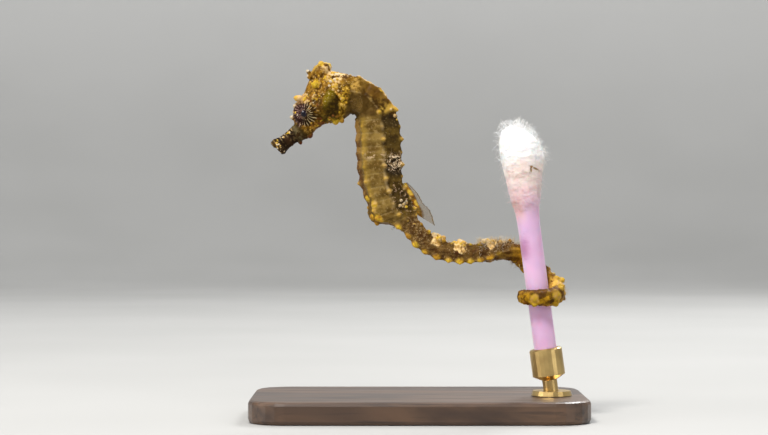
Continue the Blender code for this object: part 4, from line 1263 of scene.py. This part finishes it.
def cheek_colour(f, base, middle, small):
    """The gill cover, yellow green in front and above and dark behind, with a golden net round it. The
    change from yellow green to dark is painted light and shade over the cover's own dark olive.
    """
    x, z = f.along(RIGHT), f.along(UP)
    cx, cz = CHEEK_PLACE
    across, up = (x - cx) / CHEEK_REACH[0], (z - cz) / CHEEK_REACH[1]
    reach = across * across + up * up
    behind = x.step(cx + 0.45, cx + 0.85) * (z - cz).near(0.2, 2.6).step(0.0, 0.3)
    net = f.noise(0.30, 3.0, 0.65)
    gold = net.step(0.42, 0.56).over((0.11, 0.05, 0.002), (0.46, 0.26, 0.02))
    gold = (net.step(0.57, 0.66) * 0.85).over(gold, (0.98, 0.64, 0.14))
    colour = behind.over(base, gold)
    # Painted light and shade: the olive patch is lighter above and in front and darker below and behind,
    # as the light falls.
    lit = (up * 0.75 - across * 0.55).ragged(0.7, middle)
    olive = lit.step(-0.15, 1.0).over((0.034, 0.017, 0.001), (0.27, 0.185, 0.003))
    olive = (small.step(0.50, 0.62) * 0.35).over(olive, (0.17, 0.10, 0.006))
    colour = reach.ragged(1.1, middle).step(1.60, 0.80).over(colour, olive)
    green = up.near(-1.32, 0.32) * across.near(0.3, 1.3)
    return (green * 0.8).over(colour, (0.30, 0.21, 0.008))


def snout_colour(f, base, u, v, middle, small):
    """The snout's dark bands and its pale ring, faintly lined along its upper side."""
    where = u.ragged(0.5, middle).ragged(0.3, small)
    banded = (where / 3.4).ramp(SNOUT_BANDS)
    mottled = u.near(2.75, 0.9) * (0.5 * middle + 0.5 * f.noise(0.25, 2.0)).step(0.46, 0.54) * 1.6
    banded = (mottled * 0.75).over(banded, (0.045, 0.022, 0.005))
    shaded = (v + 0.25 * u).ragged(0.8, middle).step(0.1, -0.6)
    banded = (shaded * 0.7).over(banded, (0.05, 0.026, 0.010))
    lines = (u * 17).ragged(5, middle).wave().step(0.55, 0.95)
    lines = lines * v.ragged(0.9, small).step(0.25, 0.65)
    banded = (lines * u.step(2.7, 2.1) * 0.6).over(banded, (0.42, 0.29, 0.12))
    grains = flecks(f, 0.13, 0.9) * (small - 0.2 * v).step(0.3, 0.5)
    banded = (grains * 0.18).over(banded, (0.42, 0.28, 0.11))
    return (where + 0.25 * v).step(3.7, 3.0).over(base, banded)


def eye_rays(f, base, u, v, middle):
    """Dark and pale spokes that run out from the eye over its rim."""
    across, up = u - EYE_PLACE[0], v - EYE_PLACE[1]
    reach = from_middle(across, up)
    waves = spokes(across, up, 11, middle)
    lower = (across - up).step(-0.8, 0.8)
    dark = (reach + 0.12 * waves).ragged(0.5, middle).step(1.50, 1.0)
    colour = (dark * 0.92).over(base, lower.over((0.034, 0.012, 0.012), (0.022, 0.011, 0.002)))
    dashes = (waves - 0.25 * reach).step(0.15, 0.62) * f.noise(0.24, 2.0).step(0.41, 0.52)
    pale = dashes * reach.ragged(0.7, middle).step(1.50, 1.22)
    light = lower.over((0.56, 0.33, 0.27), (0.80, 0.62, 0.32))
    return (pale * (0.62 + 0.14 * lower)).over(colour, light)


# ---- The eyes --------------------------------------------------------------------------------


def make_eyes():
    """Each eye looks along its own +Z, out from the head and a little forward."""
    finish = eye_finish()
    turns, angles = np.linspace(0.01, math.pi - 0.01, 48)[::-1, None], circle(64)
    lens = 1 + EYE_BULGE * hump(turns, 0.0, 0.42)
    x, y = np.sin(turns) * np.cos(angles) * lens, np.sin(turns) * np.sin(angles) * lens
    grid = np.stack([x, y, np.cos(turns) * lens * np.ones(64)], axis=-1) * EYE_RADIUS
    u, v, out = EYE_PLACE
    for side, label in ((1, "left"), (-1, "right")):
        solid = Solid()
        solid.loft(grid)
        look = unit(-FORWARD * side - HEAD_ALONG * 0.12)
        turn = Vector(look).to_track_quat("Z", "Y").to_matrix().to_4x4()
        place = Matrix.Translation(Vector(head_point(u, v, side * out)) * MM) @ turn
        name = f"eye_{label}"
        place_piece(f"seahorse_{name}", solid.mesh(name), finish, [name], place)


def eye_finish():
    """A black pupil in a brown ring, with pale rays round it."""
    finish = Finish("eye", Roughness=0.25, Specular_IOR_Level=0.15, Coat_Weight=0.15, Coat_Roughness=0.12)
    x, y = finish.along(RIGHT), finish.along(FORWARD)
    reach = from_middle(x, y)
    middle, small = finish.noise(0.3, 2.0), finish.noise(0.14, 2.0)
    rays = spokes(x, y, 9, middle).step(0.35, 0.85) * small.step(0.43, 0.54)
    rim = rays.over(rgb(0.014, 0.007, 0.006), rgb(0.30, 0.19, 0.13))
    ring = middle.step(0.4, 0.6).over(rgb(0.009, 0.005, 0.007), rgb(0.032, 0.018, 0.019))
    colour = reach.ragged(0.3, middle).step(0.52, 0.64).over(ring, rim)
    colour = reach.step(0.33, 0.27).over(colour, rgb(0.004, 0.003, 0.008))
    return finish.feed(Base_Color=colour)


# ---- Fins ------------------------------------------------------------------------------------


def fin_mesh(name, roots, tips, rays, thickness, curl=0.0):
    """A thin fin from a line of roots to a line of tips, thicker along its rays, with a frayed edge."""
    across, along = 12 * rays, 26
    knots = np.linspace(0, 1, len(roots))
    wide = np.linspace(0, 1, across)
    low, high = smooth_curve(knots, roots, wide), smooth_curve(knots, tips, wide)
    ray = 0.5 + 0.5 * np.cos(2 * math.pi * wide * (rays - 1))
    grid = []
    for share in np.linspace(-0.12, 1, along):
        reach = share * (1 - 0.05 * (1 - ray) * max(0.0, share) ** 2)[:, None]
        grid.append(low + (high - low) * reach)
    grid = np.array(grid)
    normal = unit(np.cross(grid[-1, -1] - grid[0, 0], grid[0, -1] - grid[-1, 0]))
    share = np.linspace(0, 1, along)[:, None]
    half = thickness * (0.7 + 0.3 * ray**2)[None] * (1 - 0.7 * share)
    sway = curl * (share**2 * np.sin(wide * 9)[None])[:, :, None]
    front = grid + normal * half[:, :, None] + normal * sway
    behind = grid - normal * half[:, :, None] + normal * sway
    solid = Solid()
    solid.loft(np.concatenate([front, behind[:, ::-1]], axis=1))
    mesh = solid.mesh(name)
    both = np.concatenate([ray, ray[::-1]])
    write_mask(mesh, "ray", np.tile(both, along))
    write_mask(mesh, "reach", np.repeat(np.linspace(0, 1, along), 2 * across))
    write_mask(mesh, "along", np.tile(np.concatenate([wide, wide[::-1]]), along))
    return mesh


def fin_finish(name, deep, pale, spots, clear, clear_from):
    """A fin's membrane: opaque near the body, and clearer from one share of its height outwards."""
    finish = Finish(name, Roughness=0.4, Specular_IOR_Level=0.12)
    ray, reach, along = (finish.attribute(n) for n in ("ray", "reach", "along"))
    middle, small = finish.noise(0.35, 2.0), finish.noise(0.16, 2.0)
    colour = (middle + 0.08 * (ray - 0.5)).step(0.38, 0.62).over(deep, pale)
    for place, out in spots:
        near = along.near(place, 0.16) * reach.near(out, 0.48)
        near = near.ragged(0.7, middle).ragged(0.5, small)
        colour = near.step(0.10, 0.34).over(colour, rgb(0.30, 0.125, 0.010))
        colour = near.step(0.32, 0.62).over(colour, rgb(0.56, 0.36, 0.04))
    colour = (reach + 0.25 * along).step(0.60, 0.85).over(colour, pale)
    membrane = (reach + 0.38 * along).ragged(0.25, middle).step(clear_from, clear_from + 0.26)
    rim = reach.step(0.93, 0.98)
    finish.feed(Base_Color=colour, Alpha=1 - clear * membrane * (1 - 0.6 * rim))
    return finish.bump(ray, 0.03, 0.3)


def make_dorsal_fin(body):
    """The fin of the back, lowest and swept furthest at its rear."""
    first, last = DORSAL_FIN_RINGS
    shares = np.linspace(0, 1, 9)
    middles, backs, _, ways, depths, _ = body.frames(first + (last - first) * shares)
    roots = middles + backs * (depths * TRUNK_CORNERS[0][1] + 0.05)[:, None]
    height = DORSAL_FIN_HEIGHT * np.sin(np.radians(20 + 110 * shares)) ** 0.6 * (1 - 0.52 * shares**4)
    sweep = DORSAL_FIN_SWEEP * shares**5
    tips = roots + backs * height[:, None] + ways * sweep[:, None]
    mesh = fin_mesh("dorsal_fin", roots, tips, 12, 0.16, 0.10)
    brown, olive = rgb(0.11, 0.042, 0.004), rgb(0.16, 0.095, 0.012)
    finish = fin_finish("dorsal_fin", brown, olive, DORSAL_FIN_SPOTS, 0.74, 0.66)
    place_piece("seahorse_dorsal_fin", mesh, finish, ["dorsal_fin"])


def fan_lines(root, axis, out, length, spread, stem):
    """The roots and the tips of a fan of rays that leave a short root."""
    across = unit(np.cross(axis, out))
    shares = np.linspace(-0.5, 0.5, 6)
    angles = spread * shares
    rays = circle_points(angles, axis, across)
    roots = root + np.outer(stem * shares, across)
    return roots, root + rays * (length * (0.9 + 0.1 * np.cos(2 * angles)))[:, None]


def make_small_fins(body):
    """A clear fin behind each cheek, and a small one under the tail's root."""
    finish = fin_finish("small_fins", rgb(0.12, 0.065, 0.014), rgb(0.17, 0.10, 0.025), (), 0.94, 0.12)
    x, z = PECTORAL_FIN_ROOT
    for side, label in ((-1, "left"), (1, "right")):
        axis = unit(np.array(PECTORAL_FIN_AXIS) * (1, side, 1))
        out = unit(np.array(PECTORAL_FIN_OUT) * (1, side, 1))
        root = np.array((x, side * PECTORAL_FIN_SIDE, z)) + out * 0.2
        lines = fan_lines(root, axis, out, PECTORAL_FIN_LENGTH, PECTORAL_FIN_SPREAD, 0.5)
        name = f"pectoral_fin_{label}"
        mesh = fin_mesh(name, *lines, 11, 0.09)
        place_piece(f"seahorse_{name}", mesh, finish, [name])
    middles, backs, lefts, ways, depths, _ = body.frames(np.array([ANAL_FIN_RING]))
    root = middles[0] - backs[0] * (depths[0] * -TAIL_CORNERS[4][1] + 0.1)
    axis = unit(ways[0] * 0.5 - backs[0])
    lines = fan_lines(root, axis, lefts[0], ANAL_FIN_LENGTH, ANAL_FIN_SPREAD, 0.3)
    place_piece("seahorse_anal_fin", fin_mesh("anal_fin", *lines, 4, 0.08), finish, ["anal_fin"])


# ---- The cotton bud --------------------------------------------------------------------------


def turned(name, rows, around):
    """A turned mesh on the stem's axis, from rows of height, radius and lean to the right."""
    section = circle_points(circle(around), STEM_SIDE, FORWARD)
    grid = []
    for height, radius, lean in rows:
        grid.append(STEM_FOOT + STEM_AXIS * height + STEM_SIDE * lean + section * radius)
    solid = Solid()
    solid.loft(np.array(grid))
    return solid.mesh(name)


def cotton_profile(shares):
    """Radius and lean of the dense cotton at shares of its length."""
    ribs = np.array(COTTON_RIBS)
    read = smooth_curve(ribs[:, 0], ribs[:, 1:], shares)
    return np.maximum(read[:, 0], 0.02) * COTTON_RADIUS, read[:, 1]


def make_bud():
    """The stem, the dense cotton on it, and its fibres."""
    rows = [(height, STEM_RADIUS, 0.0) for height in np.linspace(0.02, COTTON_START + 2, 60)]
    place_piece("bud_stem", turned("bud_stem", rows, 64), bud_finish("bud_stem"), ["perch_stem"])
    shares = COTTON_TOP - (COTTON_TOP - COTTON_END) * (1 - np.linspace(0, 1, 170)) ** 1.3
    radius, lean = cotton_profile(shares)
    heights = COTTON_START + shares * COTTON_LENGTH
    mesh = turned("bud_cotton", zip(heights, radius * COTTON_CORE, lean), 120)
    points, normals = mesh_points(mesh), mesh_normals(mesh)
    lumps, strands = bumps(points * (1, 1, 0.5), 0.8, 3, 0.6), bumps(points * (1, 1, 2.5), 0.3, 9, 0.5)
    above = ease(((points - STEM_FOOT) @ STEM_AXIS - COTTON_START + 0.5) / 2.5)
    relief = (lumps * 0.045 + strands * 0.03 - 0.03) * above
    set_points(mesh, points + normals * relief[:, None])
    finish = bud_finish("bud_cotton")
    place_piece("bud_cotton", mesh, finish, ["perch_cotton"])
    make_fibres(finish)


def bud_finish(name):
    """The stem and its cotton get the same finish, so that one runs into the other without an edge."""
    finish = Finish(
        name, Subsurface_Weight=0.4, Subsurface_Scale=0.0014, Sheen_Weight=0.25, Specular_IOR_Level=0.25
    )
    height, side = finish.along(STEM_AXIS, STEM_FOOT), finish.along(STEM_SIDE, STEM_FOOT)
    large, middle = finish.noise(2.2, 2.0), finish.noise(0.5, 3.0, stretch=(1, 1, 2.0))
    colour = middle.step(0.3, 0.7).over(rgb(0.92, 0.92, 0.91), rgb(0.98, 0.98, 0.98))
    stained = height.ragged(2.5, large).step(COTTON_START + 6.4, COTTON_START + 3.6)
    beige = middle.step(0.35, 0.65).over(rgb(0.80, 0.66, 0.59), rgb(0.90, 0.77, 0.71))
    colour = (stained * 0.9).over(colour, beige)
    pink = height.ragged(2.0, large).step(COTTON_START + 4.4, COTTON_START + 0.4)
    colour = (pink * 0.9).over(colour, rgb(0.74, 0.52, 0.58))
    stem = large.step(0.35, 0.65).over(rgb(0.60, 0.37, 0.57), rgb(0.66, 0.44, 0.64))
    near_stem = height.ragged(1.5, middle).step(COTTON_START + 2.2, COTTON_START - 1.6)
    colour = near_stem.over(colour, stem)
    edge = side.ragged(0.5, middle).step(0.0, -0.9)
    worn = edge * height.ragged(1.2, middle).near(COTTON_START + 0.4, 2.4)
    colour = (worn * 0.6).over(colour, rgb(0.66, 0.42, 0.34))
    # A dark mauve patch on the stem's left side, below the cotton.
    dark_patch = edge * height.ragged(1.5, middle).near(STEM_DARK_PATCH, 2.0)
    colour = (dark_patch * 0.75).over(colour, rgb(0.34, 0.12, 0.27))
    up, right = COTTON_FLECK
    arms = (side - 0.35 * (height - up)).near(right, 0.22)
    arms = arms + (side + 1.4 * (height - up)).near(right + 0.4, 0.30)
    in_front = finish.along(FORWARD, STEM_FOOT).step(0.0, -0.5)
    spot = arms * height.ragged(1.0, middle).near(up, 0.65) * in_front
    colour = (spot * finish.noise(0.22, 2.0).step(0.40, 0.56) * 1.5).over(colour, rgb(0.26, 0.12, 0.02))
    rough = height.step(COTTON_START - 2, COTTON_START + 2) * 0.55 + 0.4
    finish.feed(Base_Color=colour, Roughness=rough)
    return finish.bump(finish.noise(0.16, 3.0, stretch=(1, 1, 2.4)), 0.04, 0.5)


def make_fibres(finish):
    """The fibres of the cotton: some wound close round it, others that stand off in a loose halo."""
    rng = np.random.default_rng(4)
    strands = Strands()
    along = np.linspace(0, 1, 9)
    for _ in range(WOUND_FIBRES):
        share, angle = rng.uniform(0.0, 0.87), rng.uniform(0, 2 * math.pi)
        shares = share + rng.normal(0.0, 0.06) * along
        turn = rng.uniform(0.25, 1.3) * rng.choice((-1, 1)) * along
        lift = 0.005 + 0.03 * rng.uniform() * np.sin(math.pi * along)
        line = cotton_surface(shares, angle + turn, lift)
        line += np.cumsum(rng.normal(0, 0.014, line.shape), axis=0)
        strands.add(line, WOUND_THICKNESS, fibre_patch(share, angle))
    for k in range(LOOSE_FIBRES):
        high = rng.uniform() < 0.86
        share = 0.885 - 0.40 * rng.uniform() ** 1.7 if high else rng.uniform(0.1, 0.8)
        over_top = ease((share - 0.70) / 0.15)
        angle = rng.normal(0.1, 1.3) if high else rng.uniform(-1.0, 1.0) + math.pi * (k % 2)
        start, above = cotton_surface(np.array((share, share + 0.02)), np.full(2, angle), 0.0)
        beside = cotton_surface(np.array((share,)), np.array((angle + 0.1,)), 0.0)[0]
        up, round_it = unit(above - start), unit(beside - start)
        out = unit(np.cross(round_it, up))
        away = start - STEM_FOOT
        out = out * np.sign(out @ (away - STEM_AXIS * (away @ STEM_AXIS - 1.0)))
        way = unit(round_it * rng.choice((-1, 1)) + up * rng.normal(0, 0.5))
        travel = rng.uniform(0.6, 1.7) * (1 - 0.2 * over_top)
        lift = rng.uniform(0.06, 0.44 + 0.62 * over_top)
        arch = np.sin(math.pi * (0.62 + 0.28 * over_top) * along)
        line = start + np.outer(along * travel, way) + np.outer(lift * arch, out)
        line += np.cumsum(rng.normal(0, 0.038, line.shape), axis=0)
        strands.add(line, LOOSE_THICKNESS, fibre_patch(share, angle))
    place_piece("bud_fibres", strands.mesh("bud_fibres"), finish, ["perch_cotton"])


def cotton_surface(shares, angles, lift):
    """Points over the dense cotton, at shares of its length and angles round it."""
    radius, lean = cotton_profile(np.clip(shares, COTTON_END, COTTON_TOP))
    out = circle_points(angles, STEM_SIDE, FORWARD)
    heights = COTTON_START + shares * COTTON_LENGTH
    axis = STEM_FOOT + np.outer(heights, STEM_AXIS) + np.outer(lean, STEM_SIDE)
    return axis + out * (radius * COTTON_CORE + lift)[:, None]


def fibre_patch(share, angle):
    """Where a fibre's root lies on the cotton's unwrap."""
    return angle / (2 * math.pi) % 1.0 * 0.99, max(share, 0.0) * 0.99


# ---- The stand -------------------------------------------------------------------------------


def make_stand():
    """The base and the rod keep their shapes and get better finishes."""
    for name, finish in (("stand_base", wood_finish()), ("stand_rod", brass_finish())):
        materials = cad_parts[name].data.materials
        materials.clear()
        materials.append(finish.material)


def wood_finish():
    finish = Finish("walnut", Roughness=0.38, Coat_Weight=0.25, Coat_Roughness=0.2)
    grain = finish.noise(1.2, 4.0, distortion=0.6, stretch=(0.12, 1.0, 0.6))
    fine = finish.noise(0.25, 2.0, stretch=(0.06, 1.0, 1.0))
    colour = grain.step(0.35, 0.65).over(rgb(0.035, 0.017, 0.009), rgb(0.105, 0.055, 0.028))
    colour = (fine.step(0.55, 0.7) * 0.6).over(colour, rgb(0.02, 0.01, 0.006))
    finish.feed(Base_Color=colour, Roughness=0.3 + 0.25 * fine)
    return finish.bump(fine, 0.03, 0.4)


def brass_finish():
    finish = Finish("brass", Metallic=1.0, Roughness=0.28)
    streaks = finish.noise(0.5, 3.0, stretch=(0.3, 0.3, 3.0))
    dull = finish.noise(1.5, 3.0)
    colour = dull.step(0.4, 0.65).over(rgb(0.62, 0.44, 0.18), rgb(0.48, 0.33, 0.13))
    finish.feed(Base_Color=colour, Roughness=0.2 + 0.25 * streaks)
    return finish.bump(streaks, 0.01, 0.3)


# ---- Floor, light and camera -----------------------------------------------------------------


def make_stage():
    """A round pale floor that curves up into a wall on every side, far out."""
    floor_radius, bend = 0.45, 0.30
    profile = [(0.002, 0.0), (0.15, 0.0), (0.30, 0.0), (floor_radius, 0.0)]
    turns = np.linspace(0.1, math.pi / 2, 14)
    profile += [(floor_radius + bend * math.sin(a), bend * (1 - math.cos(a))) for a in turns]
    profile.append((floor_radius + bend, 0.45))
    grid = np.array([[(r * math.cos(a), r * math.sin(a), z) for a in circle(96)] for r, z in profile])
    quads, index = quads_between(*grid.shape[:2])
    mesh = new_mesh("floor", grid, quads.tolist() + [index[0, ::-1].tolist()])
    finish = Finish("floor", Roughness=0.8)
    rise = finish.along(UP)
    grain = finish.noise(40.0, 2.0).step(0.3, 0.7)
    paper = grain.over(rgb(0.40, 0.40, 0.39), rgb(0.43, 0.43, 0.42))
    # Painted light: the wall gets paler the higher it rises, to stand in for light that doesn't reach it.
    finish.feed(Base_Color=rise.step(0.0, 260.0).over(paper, rgb(0.74, 0.74, 0.73)))
    mesh.materials.append(finish.material)
    new_object("floor", mesh)


def add_lamp(name, place, target, size, power, colour=(1.0, 1.0, 1.0)):
    data = bpy.data.lights.new(name, "AREA")
    data.shape, data.size, data.energy, data.color = "DISK", size, power, colour
    lamp = new_object(name, data)
    place, target = Vector(place), Vector(target)
    lamp.location = place
    lamp.rotation_euler = (target - place).to_track_quat("-Z", "Y").to_euler()


def make_lights():
    middle = (0.0, 0.0, 0.024)
    add_lamp("key", (-0.10, -0.20, 0.32), middle, 0.09, 1.55, (1.0, 0.97, 0.93))
    add_lamp("left_fill", (-0.32, -0.12, 0.10), middle, 0.20, 0.38, (1.0, 0.98, 0.95))
    add_lamp("right_fill", (0.28, -0.24, 0.12), middle, 0.20, 0.22, (0.97, 0.98, 1.0))
    add_lamp("rim", (0.14, 0.24, 0.26), middle, 0.14, 0.8)
    add_lamp("backdrop", (0, 0.25, 0.95), Vector((0, 0.60, 0)), 0.60, 3.0)
    world = bpy.data.worlds.new("studio")
    world.use_nodes = True
    background = world.node_tree.nodes["Background"]
    background.inputs["Color"].default_value = rgb(0.97, 0.98, 1.0)
    background.inputs["Strength"].default_value = 0.42
    bpy.context.scene.world = world
    bpy.context.scene.view_settings.view_transform = "Standard"


def make_camera():
    data = bpy.data.cameras.new("camera")
    data.sensor_width = 36.0
    data.lens = 36.0 * VIEW_DISTANCE / VIEW_WIDTH
    data.clip_start, data.clip_end = 0.005, 10.0
    camera = new_object("camera", data)
    camera.location = Vector((VIEW_CENTRE[0], -VIEW_DISTANCE, VIEW_CENTRE[1])) * MM
    camera.rotation_euler = (math.radians(90), 0, 0)
    bpy.context.scene.camera = camera


def main():
    make_camera()
    make_lights()
    make_stage()
    body = Body()
    make_skin(body)
    make_eyes()
    make_dorsal_fin(body)
    make_small_fins(body)
    make_bud()
    make_stand()


main()
